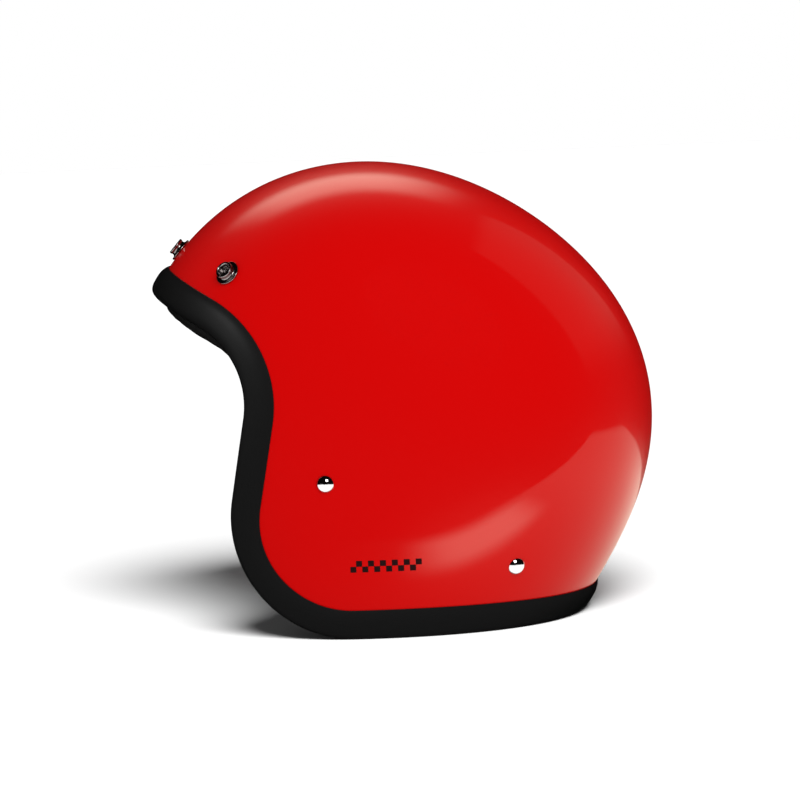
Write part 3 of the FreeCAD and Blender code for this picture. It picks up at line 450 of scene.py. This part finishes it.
def cheek_pad(hand):
    """Pillow over a rounded outline in side view: flat on its board, crowned towards the cheek."""
    front, temple, jaw, _ = offset_corners(15 * MM)
    low, high, rear = 19.6 * MM, 89.5 * MM, 41.5 * MM
    angle = np.linspace(0, 2 * math.pi, 200, endpoint=False)
    share_y = np.sign(np.cos(angle)) * np.abs(np.cos(angle)) ** 0.36
    share_z = np.sign(np.sin(angle)) * np.abs(np.sin(angle)) ** 0.36
    z_edge = (low + high) / 2 + (high - low) / 2 * share_z
    lean = temple[0] + (jaw[0] - temple[0]) * (temple[1] - z_edge) / (temple[1] - jaw[1])
    y_edge = (lean + rear) / 2 + (rear - lean) / 2 * share_y
    middle = np.array([y_edge.mean(), z_edge.mean()])
    rise = np.r_[np.linspace(0, 0.97, 40), 0.985, 0.996, 1.0, 1.0, 0.996, 0.985, np.linspace(0.965, 0, 60)]
    face = np.linspace(0.965, 0, 60)
    crown = PAD_INNER - 4.6 * MM + 4.6 * MM * (1 - face ** 2.5)
    pipe = 1.0 * MM * np.exp(-((face - 0.93) / 0.02) ** 2)
    groove = -1.6 * MM * np.exp(-((face - 0.80) / 0.015) ** 2)
    wall = PAD_OUTER + np.array([0.3, 1.2, 3.0, 16.0, 19.0, 20.6]) * MM
    top = np.r_[np.full(40, PAD_OUTER), wall, crown + pipe + groove]
    y = middle[0] + (y_edge - middle[0])[:, None] * rise
    z = middle[1] + (z_edge - middle[1])[:, None] * rise
    return skin_at(y, z, np.broadcast_to(top, y.shape)) * [hand, 1, 1]


for side, hand in (("left", 1), ("right", -1)):
    pad = grid_piece("cheek_cushion_" + side, cheek_pad(hand))
    pad.data.materials.append(knit)
    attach(pad, "helmet")
    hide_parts("cheek_pad_" + side)
board_plastic = new_material("board plastic", (0.03, 0.03, 0.03), 0.55)[0]
for node in ("cheek_board_left", "cheek_board_right", "cheek_snap_sockets", "cheek_snap_studs"):
    frame["nodes"][node].data.materials.clear()
    frame["nodes"][node].data.materials.append(board_plastic)

# ---- Visor snaps and strap rivets ---------------------------------------------------------------------
# Three press studs stand on the brow for a visor, each a spun flange with a hollow, rolled-rim post. Two
# domed rivets a side hold the strap legs; only their heads, outside the shell, are made here.
STUD_PROFILE = np.array([
    (0.0, 1.75), (0.55, 1.8), (0.8, 2.25), (1.15, 2.5), (1.7, 2.4), (2.1, 1.9), (3.1, 1.75), (3.3, 2.3),
    (3.3, 3.5), (3.55, 4.1), (4.1, 4.5), (4.65, 4.3), (4.85, 3.7), (4.6, 3.1), (4.4, 2.7), (4.4, 1.9),
    (4.8, 1.35), (5.5, 1.1), (6.5, 1.0), (6.75, 0.6), (6.6, 0.1), (6.0, -0.35), (0.0, -0.35)]) * MM
RIVET_PROFILE = np.array([
    (0.0, 2.7), (1.2, 2.62), (2.5, 2.2), (3.6, 1.45), (4.35, 0.65), (4.72, 0.12), (4.6, -0.25), (3.9, -0.4),
    (0.0, -0.4)]) * MM
RIVET_PLACES = np.array([(-42.1, 83.5), (55.8, 34.3)]) * MM


def spun(name, profile, seats, turns=72):
    """Turned pieces, one at each seat (point, axis): a profile with cut corners carried round the axis."""
    for _ in range(3):
        first, second = profile[:-1], profile[1:]
        cut = np.stack([0.75 * first + 0.25 * second, 0.25 * first + 0.75 * second], 1).reshape(-1, 2)
        profile = np.concatenate([profile[:1], cut, profile[-1:]])
    angle = np.linspace(0, 2 * math.pi, turns, endpoint=False)[:, None]
    pieces = []
    for point, axis in seats:
        side = np.cross(axis, [0.0, 1.0, 0.3])
        side /= np.linalg.norm(side)
        rise = np.cross(axis, side)
        spoke = np.cos(angle)[..., None] * side + np.sin(angle)[..., None] * rise
        grid = point + profile[:, 1][None, :, None] * axis + profile[:, 0][None, :, None] * spoke
        pieces.append(grid_piece(name, grid))
    with bpy.context.temp_override(active_object=pieces[0], selected_editable_objects=pieces):
        bpy.ops.object.join()
    return pieces[0]


mounts = {m["name"]: m for m in frame["record"]["mounts"]}
snap_seats = []
for name in ("visor_snap_centre", "visor_snap_left", "visor_snap_right"):
    axis = np.array(mounts[name]["axis"])
    neck = np.array(mounts[name]["pos_m"])
    snap_seats.append((skin(neck - CENTRE, 0), axis))
nickel, tree, shader, add = new_material("dark nickel", (0.36, 0.33, 0.32), 0.2, 1.0)
place = add("ShaderNodeTexCoord").outputs["Object"]
wear = add("ShaderNodeTexNoise", [("Vector", place)], Scale=700.0, Detail=3.0)
rough = add("ShaderNodeMapRange", [("Value", wear.outputs["Fac"])], To_Min=0.14, To_Max=0.28)
tree.links.new(rough.outputs["Result"], shader.inputs["Roughness"])
studs = spun("visor_press_studs", STUD_PROFILE, snap_seats)
studs.data.materials.append(nickel)
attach(studs, "helmet")
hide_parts("visor_snap_studs", "visor_snap_eyelets")

chrome, tree, shader, add = new_material("bright chrome", (0.78, 0.78, 0.78), 0.06, 1.0)
place = add("ShaderNodeTexCoord").outputs["Object"]
haze = add("ShaderNodeTexNoise", [("Vector", place)], Scale=500.0)
rough = add("ShaderNodeMapRange", [("Value", haze.outputs["Fac"])], To_Min=0.04, To_Max=0.12)
tree.links.new(rough.outputs["Result"], shader.inputs["Roughness"])
rivet_points = skin_at(RIVET_PLACES[:, 0], RIVET_PLACES[:, 1], 0.0)
rivet_points = np.concatenate([rivet_points, rivet_points * [-1, 1, 1]])
rivets = spun("strap_rivet_heads", RIVET_PROFILE, list(zip(rivet_points, outward(rivet_points))))
rivets.data.materials.append(chrome)
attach(rivets, "helmet")
zinc = new_material("zinc plate", (0.55, 0.55, 0.54), 0.3, 1.0)[0]
FINISHES = {"strap_rivets": chrome, "rivet_washers": zinc, "d_ring_lower": chrome, "d_ring_upper": chrome,
            "tail_snap_cap": nickel, "keeper_stud": nickel}
for node, finish in FINISHES.items():
    frame["nodes"][node].data.materials.clear()
    frame["nodes"][node].data.materials.append(finish)
rings = [frame["nodes"][node] for node in ("d_ring_lower", "d_ring_upper", "tail_snap_cap")]
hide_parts("strap_rivets")

# ---- Side decal ------------------------------------------------------------------------------------------
# A small plain chequered strip in black, a film on the lacquer low on each side.
DECAL_MIDDLE, DECAL_CELL, DECAL_COLUMNS = np.array([-12.4, 39.4]) * MM, 3.1 * MM, 12
DECAL_PROUD = 0.06 * MM
black_film = new_material("black film", (0.02, 0.004, 0.004), 0.3, Coat_Weight=1.0, Coat_Roughness=0.05)[0]


def decal(hand):
    """Every second cell of two rows, each a small patch that follows the skin."""
    quads, points = [], []
    step = np.linspace(0, DECAL_CELL, 4)
    for row in range(2):
        for column in range(row % 2, DECAL_COLUMNS, 2):
            y = DECAL_MIDDLE[0] + (column - DECAL_COLUMNS / 2) * DECAL_CELL + step
            z = DECAL_MIDDLE[1] + (row - 1) * DECAL_CELL + step
            patch = skin_at(y[:, None], z[None], -DECAL_PROUD) * [hand, 1, 1]
            base = len(points) * 16
            points.append(patch.reshape(-1, 3))
            a = np.arange(9) // 3 * 4 + np.arange(9) % 3 + base
            corners = [a, a + 4, a + 5, a + 1] if hand > 0 else [a, a + 1, a + 5, a + 4]
            quads += np.stack(corners, -1).tolist()
    mesh = bpy.data.meshes.new("decal")
    mesh.from_pydata(np.concatenate(points).tolist(), [], quads)
    return mesh


for side, hand in (("left", 1), ("right", -1)):
    strip = bpy.data.objects.new("side_decal_" + side, decal(hand))
    bpy.context.scene.collection.objects.link(strip)
    thick = strip.modifiers.new("film", "SOLIDIFY")
    thick.thickness, thick.offset = DECAL_PROUD * 0.8, -1
    strip.data.materials.append(black_film)
    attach(strip, "helmet")

# ---- Chin strap ------------------------------------------------------------------------------------------
# Woven polyester webbing: a front and a rear leg a side, riveted to the shell, meet inside the trim. The
# left half ends in a loop round two D rings. The right half is long, its tail folded back and pressed down.
WEB_WIDTH, WEB_WALL = 25 * MM, 2.0 * MM
LEG_WIDTH, LEG_WALL = 21 * MM, 1.8 * MM
FRONT_LEG = np.array([(-47.7, 90.6, 6.5), (-42.1, 83.5, 6.2), (-28.4, 66.0, 5.9), (-16.4, 49.0, 5.6),
                      (-10.9, 36.0, 6.2), (-9.4, 26.0, 8.2), (-9.4, 17.0, 10.0)]) * MM
LEG_TURN = np.array([(-7.0, 8.2), (-4.5, 3.4), (-2.4, 0.9), (0.5, 0.0)]) * MM
REAR_LEG = np.array([(65.0, 32.6, 6.2), (55.8, 34.3, 6.2), (34.0, 38.6, 6.3), (12.0, 43.2, 7.4),
                     (-4.0, 46.6, 8.9), (-18.0, 49.6, 9.1)]) * MM
RING_AT, RING_GAP, RING_REACH, BAR_RISE = 50 * MM, 5.6 * MM, 22 * MM, 1.1 * MM
LONG_REACH, TAIL_RISE = 118 * MM, 2.5 * MM
joints = {j["name"]: j for j in frame["joints"]}


def strap_frame(side):
    """Origin, way along, way across and way up of one strap half, from its hinge."""
    joint = joints[side + "_strap_swing"]
    across = np.array(joint["axis"])
    return np.array(joint["pos_m"]), np.cross(across, [0.0, 0.0, 1.0]), across, np.array([0.0, 0.0, 1.0])


def smooth_run(points, spacing):
    """Natural cubic curve through points, at an even spacing."""
    run = np.r_[0, np.cumsum(np.linalg.norm(np.diff(points, axis=0), axis=1))]
    h = np.diff(run)
    n = len(points)
    system = np.eye(n)
    right_side = np.zeros_like(points)
    for i in range(1, n - 1):
        system[i, i - 1:i + 2] = h[i - 1], 2 * (h[i - 1] + h[i]), h[i]
        right_side[i] = 6 * ((points[i + 1] - points[i]) / h[i] - (points[i] - points[i - 1]) / h[i - 1])
    bend = np.linalg.solve(system, right_side)
    s = np.linspace(0, run[-1], max(8, int(run[-1] / spacing)))
    i = np.clip(np.searchsorted(run, s, "right") - 1, 0, n - 2)
    a, b = (run[i + 1] - s)[:, None], (s - run[i])[:, None]
    hi = h[i][:, None]
    return (bend[i] * a ** 3 + bend[i + 1] * b ** 3) / (6 * hi) \
        + (points[i] / hi - bend[i] * hi / 6) * a + (points[i + 1] / hi - bend[i + 1] * hi / 6) * b


def ribbon(name, centre, across, width, wall):
    """Woven band: a thin section carried along a path, with lengthways and crossways coordinates.
    Its width may differ from place to place; both ends are closed."""
    along = np.gradient(centre, axis=0)
    across = across - along * ((across * along).sum(1) / (along * along).sum(1))[:, None]
    across /= np.linalg.norm(across, axis=1, keepdims=True)
    normal = np.cross(along, across)
    normal /= np.linalg.norm(normal, axis=1, keepdims=True)
    flat = np.linspace(-1, 1, 15)
    share = np.concatenate([flat, flat[::-1]])
    face = np.repeat([1.0, -1.0], 15)
    lift = face * wall / 2 * np.where(np.abs(share) > 0.99, 0.55, 1.0)
    across_by = np.broadcast_to(width, len(centre))[:, None] / 2 * share
    grid = centre[:, None] + across[:, None] * across_by[..., None] + normal[:, None] * lift[:, None]
    ends = [np.broadcast_to(centre[i], (1, *grid.shape[1:])) for i in (0, -1)]
    grid = np.concatenate([ends[0], grid, ends[1]])
    run = np.r_[0, np.cumsum(np.linalg.norm(np.diff(centre, axis=0), axis=1))]
    run = np.r_[run[0], run, run[-1]]
    across_by = np.concatenate([across_by[:1], across_by, across_by[-1:]])
    uv = np.stack([np.broadcast_to(run[:, None], across_by.shape), across_by], -1)
    return grid_piece(name, grid, False, True, uv)


webbing, tree, shader, add = new_material("black webbing", (0.014, 0.014, 0.015), 0.62, Sheen_Weight=0.3)
uv = add("ShaderNodeUVMap", uv_map="UVMap")
twist = add("ShaderNodeMapping", [("Vector", uv.outputs["UV"])])
twist.inputs["Rotation"].default_value = (0, 0, math.radians(32))
ribs = add("ShaderNodeTexWave", [("Vector", twist.outputs["Vector"])], Scale=330.0, Distortion=0.6)
rows = add("ShaderNodeTexWave", [("Vector", uv.outputs["UV"])], Scale=210.0)
rows.bands_direction = "Y"
weave = add("ShaderNodeMath", [(0, ribs.outputs["Fac"]), (1, rows.outputs["Fac"])], operation="ADD")
bump = add("ShaderNodeBump", [("Height", weave.outputs["Value"])], Strength=0.7, Distance=0.00025)
tree.links.new(bump.outputs["Normal"], shader.inputs["Normal"])
shade = add("ShaderNodeMapRange", [("Value", weave.outputs["Value"])], To_Min=0.5, To_Max=0.75)
tree.links.new(shade.outputs["Result"], shader.inputs["Roughness"])


def dress(piece, material, body, slot, *nodes):
    """Gives a piece its material and body, and hides the CAD solids that it stands for. The slot is not used."""
    piece.data.materials.append(material)
    if body:
        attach(piece, body)
    if nodes:
        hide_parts(*nodes)


def leg_rows(places, hand):
    """Centres and ways across of a strap leg that lies along the shell, from places and depths."""
    run = smooth_run(places, 3 * MM)
    centre = skin_at(run[:, 0], run[:, 1], run[:, 2])
    way = np.gradient(run, axis=0) * [1, 1, 0]
    way = np.stack([0 * way[:, 0], way[:, 0], way[:, 1]], -1)
    across = np.cross(outward(centre), way)
    across /= np.linalg.norm(across, axis=1, keepdims=True)
    return centre * [hand, 1, 1], across * [hand, 1, 1]


def strap_path(side, hand, flat):
    """Front leg, turn and moving half of one strap as one path: centres, ways across and widths."""
    origin, along, across, lift = strap_frame(side)
    upper, upper_across = leg_rows(FRONT_LEG, hand)
    lower = origin + np.array([along * a + lift * z for a, z in np.concatenate([LEG_TURN, flat])])
    path = smooth_run(np.concatenate([upper[::4], lower]), 1.0 * MM)
    hinge = across * np.sign(np.dot(across, upper_across[-1]))
    share = np.clip((upper[-1, 2] + 2 * MM - path[:, 2]) / (upper[-1, 2] - origin[2]), 0, 1)[:, None]
    nearest = np.argmin(np.linalg.norm(path[:, None] - upper[None], axis=-1), axis=1)
    width = LEG_WIDTH + (WEB_WIDTH - LEG_WIDTH) * share[:, 0]
    return path, upper_across[nearest] * (1 - share) + hinge * share, width


turn_radius = 2.3 * MM + WEB_WALL / 2
arc = np.linspace(-math.pi / 2, 0, 6)
left_flat = np.concatenate([
    np.array([(8, 0), (18, 0), (28, 0), (34, -0.1)]) * MM,
    np.stack([RING_AT + turn_radius * np.cos(arc), BAR_RISE + turn_radius * np.sin(arc)], -1),
    np.stack([RING_AT + turn_radius * np.cos(-arc[::-1]),
              BAR_RISE + RING_GAP + turn_radius * np.sin(-arc[::-1])], -1),
    np.array([(44, 6.6), (38, 2.8), (35, 2.1), (33.2, 2.05)]) * MM])
right_flat = np.array([(8, 0), (30, 0), (60, 0), (90, 0), (112, 0)]) * MM
STRAP_HALVES = (("left", 1, left_flat, "short_webbing"), ("right", -1, right_flat, "long_webbing"))
for side, hand, flat, node in STRAP_HALVES:
    path, across, width = strap_path(side, hand, flat)
    web = ribbon("chin_strap_" + side, path, across, width, WEB_WALL)
    dress(web, webbing, None, "strap_webbing", "strap_leg_front_" + side, node)
    origin, along, _, _ = strap_frame(side)
    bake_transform(web)
    rear = ribbon("rear_leg_" + side, *leg_rows(REAR_LEG, hand), LEG_WIDTH, LEG_WALL)
    dress(rear, webbing, "helmet", "strap_webbing", "strap_leg_rear_" + side)

origin, along, across, lift = strap_frame("right")
fold = np.linspace(-math.pi / 2, math.pi / 2, 9)
fold_radius = TAIL_RISE / 2
tail_line = np.concatenate([
    np.array([(112.0, 0.0), (115.0, 0.0)]) * MM,
    np.stack([LONG_REACH + fold_radius * np.cos(fold), fold_radius + fold_radius * np.sin(fold)], -1),
    np.array([(112.0, 2.5), (90.0, 2.5), (68.0, 2.5)]) * MM])
tail_path = smooth_run(origin + tail_line[:, :1] * along + tail_line[:, 1:] * lift, 0.7 * MM)
tail = ribbon("strap_tail_fold", tail_path, np.broadcast_to(across, tail_path.shape), WEB_WIDTH, WEB_WALL)
dress(tail, webbing, None, "strap_webbing", "tail_webbing")
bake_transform(tail)

# Comfort sleeves, one on each half, and the red release tab looped round the upper ring's bow.
sleeve_cloth, tree, shader, add = new_material("sleeve knit", (0.02, 0.02, 0.022), 0.8, Sheen_Weight=0.4)
place = add("ShaderNodeTexCoord").outputs["Object"]
loops = add("ShaderNodeTexVoronoi", [("Vector", place)], Scale=1100.0)
bump = add("ShaderNodeBump", [("Height", loops.outputs["Distance"])], Strength=0.5, Distance=0.0003)
tree.links.new(bump.outputs["Normal"], shader.inputs["Normal"])


def sleeve(side, start, stop):
    """Soft flattened tube round the webbing, drawn in at both mouths and sewn along its two edges."""
    origin, along, across, lift = strap_frame(side)
    run = np.linspace(0, 1, 60)
    mouth = np.clip(np.minimum(run, 1 - run) * (stop - start) / (3.5 * MM), 0, 1)
    full = 0.55 + 0.45 * np.sqrt(1 - (1 - mouth) ** 2)
    turn = np.linspace(0, 2 * math.pi, 64, endpoint=False)
    wide = np.sign(np.cos(turn)) * np.abs(np.cos(turn)) ** 0.55
    tall = np.sign(np.sin(turn)) * np.abs(np.sin(turn)) ** 0.8
    ripple = 1 + 0.03 * np.sin(run * 40)[:, None] * np.sin(turn * 3)
    place = start + (stop - start) * run
    half_width = 15.4 * MM * wide * (0.9 + 0.1 * full[:, None])
    half_height = 3.0 * MM * tall * full[:, None] * ripple
    grid = (origin + along * place[:, None, None] + across * half_width[..., None]
            + lift * half_height[..., None])
    grid = np.concatenate([np.broadcast_to(grid[:1].mean(1, keepdims=True), grid[:1].shape), grid,
                           np.broadcast_to(grid[-1:].mean(1, keepdims=True), grid[:1].shape)])
    return grid_piece("strap_sleeve_" + side, grid, False, True)


for side, span in (("left", (4, 32)), ("right", (4, 56))):
    piece = sleeve(side, span[0] * MM, span[1] * MM)
    dress(piece, sleeve_cloth, side + "_strap", "sleeve_fabric", "sleeve_" + side)

red_web = new_material("red tab", (0.45, 0.008, 0.008), 0.6, Sheen_Weight=0.3)[0]
red_tree = red_web.node_tree
uv = red_tree.nodes.new("ShaderNodeUVMap")
uv.uv_map = "UVMap"
ribs = red_tree.nodes.new("ShaderNodeTexWave")
ribs.inputs["Scale"].default_value = 300
bump = red_tree.nodes.new("ShaderNodeBump")
bump.inputs["Strength"].default_value, bump.inputs["Distance"].default_value = 0.6, 0.0002
red_tree.links.new(uv.outputs["UV"], ribs.inputs["Vector"])
red_tree.links.new(ribs.outputs["Fac"], bump.inputs["Height"])
red_tree.links.new(bump.outputs["Normal"], red_tree.nodes["Principled BSDF"].inputs["Normal"])
origin, along, across, lift = strap_frame("left")
tab_at, tab_lift, tab_radius = RING_AT + RING_REACH, BAR_RISE + RING_GAP, 2.85 * MM
wrap = np.linspace(math.radians(60), math.radians(300), 12)
tab_line = np.concatenate([np.array([(98.0, 0.7), (90.0, 0.7), (78.0, 0.9)]) * MM,
                           np.stack([tab_at + tab_radius * np.cos(wrap), tab_radius * np.sin(wrap)], -1),
                           np.array([(78.0, -0.9), (90.0, -0.7), (98.0, -0.7)]) * MM])
tab_path = smooth_run(origin + tab_line[:, :1] * along + (tab_line[:, 1:] + tab_lift) * lift, 0.6 * MM)
tab = ribbon("release_tab_loop", tab_path, np.broadcast_to(across, tab_path.shape), 11 * MM, 1.2 * MM)
dress(tab, red_web, "ring_upper", "tab_webbing", "release_tab")

# ---- Floor, light and camera ------------------------------------------------------------------------
# The floor is dark, and a light of its own brings it up to white. One broad light on the camera side lights
# the rest. Soft panels show only as reflections, each in its own pieces, and the camera looks square from
# the helmet's left, from a little above.
AIM = CENTRE + np.array([0.0, 0.0, 22.5 * MM])
RISE, ROLL, DISTANCE, FIELD = math.radians(5.0), math.radians(2.5), 2.2, 0.436
back = np.array([math.cos(RISE), 0.0, math.sin(RISE)])
level_up = np.array([-math.sin(RISE), 0.0, math.cos(RISE)])
level_right = np.array([0.0, 1.0, 0.0])
right = level_right * math.cos(ROLL) - level_up * math.sin(ROLL)
up = level_right * math.sin(ROLL) + level_up * math.cos(ROLL)
camera_data = bpy.data.cameras.new("camera")
camera_data.sensor_width = 36.0
camera_data.lens = camera_data.sensor_width * DISTANCE / FIELD
camera = bpy.data.objects.new("camera", camera_data)
bpy.context.scene.collection.objects.link(camera)
place = AIM + back * DISTANCE
camera.matrix_world = Matrix([[right[i], up[i], back[i], place[i]] for i in range(3)] + [[0, 0, 0, 1]])
bpy.context.scene.camera = camera
bpy.context.scene.view_settings.view_transform = "Standard"

floor_data = bpy.data.meshes.new("floor")
floor_data.from_pydata([(-9, -9, 0), (9, -9, 0), (9, 9, 0), (-9, 9, 0)], [], [(0, 1, 2, 3)])
floor = bpy.data.objects.new("floor", floor_data)
bpy.context.scene.collection.objects.link(floor)
floor_paint, tree, shader, add = new_material("dark sweep", (0.12, 0.12, 0.12), 0.9, Specular_IOR_Level=0.0)
floor.data.materials.append(floor_paint)
floor.visible_glossy = False

SKY = {"Is Camera Ray": 1.0, "Is Diffuse Ray": 0.75, "Is Glossy Ray": 0.003}
world = bpy.data.worlds.new("studio")
world.use_nodes = True
bpy.context.scene.world = world
world.cycles.sampling_method = "NONE"
tree = world.node_tree
seen = tree.nodes.new("ShaderNodeLightPath")
strength = None
for ray, level in SKY.items():
    share = tree.nodes.new("ShaderNodeMath")
    share.operation = "MULTIPLY_ADD"
    share.inputs[1].default_value = level
    share.inputs[2].default_value = 0.0
    tree.links.new(seen.outputs[ray], share.inputs[0])
    if strength:
        tree.links.new(strength, share.inputs[2])
    strength = share.outputs["Value"]
sky = tree.nodes["Background"]
sky.inputs["Color"].default_value = (1, 1, 1, 1)
tree.links.new(strength, sky.inputs["Strength"])


def distant_light(name, energy, spread, slew, lean, receivers=()):
    """Distant light on the camera side, by its width, its turn towards the nape and its lean, in degrees.
    It does not show in reflections, and receivers limits it to some pieces."""
    data = bpy.data.lights.new(name, "SUN")
    data.energy, data.angle = energy, math.radians(spread)
    light = bpy.data.objects.new(name, data)
    bpy.context.scene.collection.objects.link(light)
    turn = Matrix.Rotation(math.radians(slew), 4, "Z")
    light.matrix_world = turn @ Matrix.Rotation(math.radians(lean), 4, "Y")
    light.visible_glossy = False
    if receivers:
        light.light_linking.receiver_collection = grouped(name, receivers)


def grouped(name, pieces):
    """Collection of the pieces that a light may reach."""
    group = bpy.data.collections.new(name)
    for piece in pieces:
        group.objects.link(piece)
    return group


distant_light("key", 2.1, 40, 20, 52)
distant_light("table_key", 37.0, 25, 9, 48, (floor,))


def soft_light(name, place, target, size, radiance, fades, receivers, colour=(1.0, 1.0, 1.0)):
    """Soft box aimed at a point: its width, height and brightness, fading to nothing at its edges.
    It shows only in reflections, and only in the receivers."""
    data = bpy.data.lights.new(name, "AREA")
    data.shape = "RECTANGLE"
    data.size, data.size_y = size
    data.energy = radiance * math.pi * size[0] * size[1]
    light = bpy.data.objects.new(name, data)
    bpy.context.scene.collection.objects.link(light)
    away = np.array(place) - np.array(target)
    away /= np.linalg.norm(away)
    side = np.cross([0.0, 0.0, 1.0], away) if abs(away[2]) < 0.99 else np.array([1.0, 0.0, 0.0])
    side /= np.linalg.norm(side)
    rise = np.cross(away, side)
    light.matrix_world = Matrix([[side[i], rise[i], away[i], place[i]] for i in range(3)] + [[0, 0, 0, 1]])
    light.visible_diffuse = False
    light.light_linking.receiver_collection = grouped(name, receivers)
    data.use_nodes = True
    nodes, links = data.node_tree.nodes, data.node_tree.links
    spot = nodes.new("ShaderNodeNewGeometry").outputs["Parametric"]
    split = nodes.new("ShaderNodeSeparateXYZ")
    links.new(spot, split.inputs["Vector"])
    levels = []
    for axis, width in zip(("X", "Y"), fades):
        ping = nodes.new("ShaderNodeMath")
        ping.operation = "PINGPONG"
        ping.inputs[1].default_value = 0.5
        links.new(split.outputs[axis], ping.inputs[0])
        fade = nodes.new("ShaderNodeMapRange")
        fade.interpolation_type = "SMOOTHERSTEP"
        fade.inputs["From Max"].default_value = width
        links.new(ping.outputs["Value"], fade.inputs["Value"])
        levels.append(fade.outputs["Result"])
    both = nodes.new("ShaderNodeMath")
    both.operation = "MULTIPLY"
    links.new(levels[0], both.inputs[0])
    links.new(levels[1], both.inputs[1])
    nodes["Emission"].inputs["Color"].default_value = (*colour, 1)
    links.new(both.outputs["Value"], nodes["Emission"].inputs["Strength"])


WARM = (1.0, 1.0, 0.82)
METAL = (studs, rivets, *rings)
soft_light("crown_glow", (-0.98, -0.2, 1.45), (0, -0.03, 0.2), (1.9, 1.1), 5.2, (0.4, 0.4), (shell,), WARM)
soft_light("nape_wall", (-0.93, 1.6, 1.75), (-0.93, 0, 1.75), (2.5, 2.9), 0.45, (0.06, 0.25), (shell,), WARM)
soft_light("table_glow", (-0.03, 0.55, 0.003), (-0.03, 0.55, 1), (0.56, 1.35), 2.4, (0.04, 0.36), (shell,),
           WARM)
soft_light("table_spot", (0.19, 0.09, 0.004), (0.19, 0.09, 1), (0.10, 0.22), 6.5, (0.4, 0.4), (shell,), WARM)
soft_light("fittings_glow", (0.35, -0.1, 0.003), (0.35, -0.1, 1), (0.9, 1.2), 1.3, (0.1, 0.1), METAL)
soft_light("fittings_window", (1.3, 0.25, 1.0), (0, 0, 0.15), (0.7, 0.7), 6.0, (0.1, 0.1), METAL)
soft_light("trim_glow", (0.7, -1.0, 1.3), (0, -0.1, 0.1), (1.2, 1.2), 2.4, (0.4, 0.4), (trim, brow))
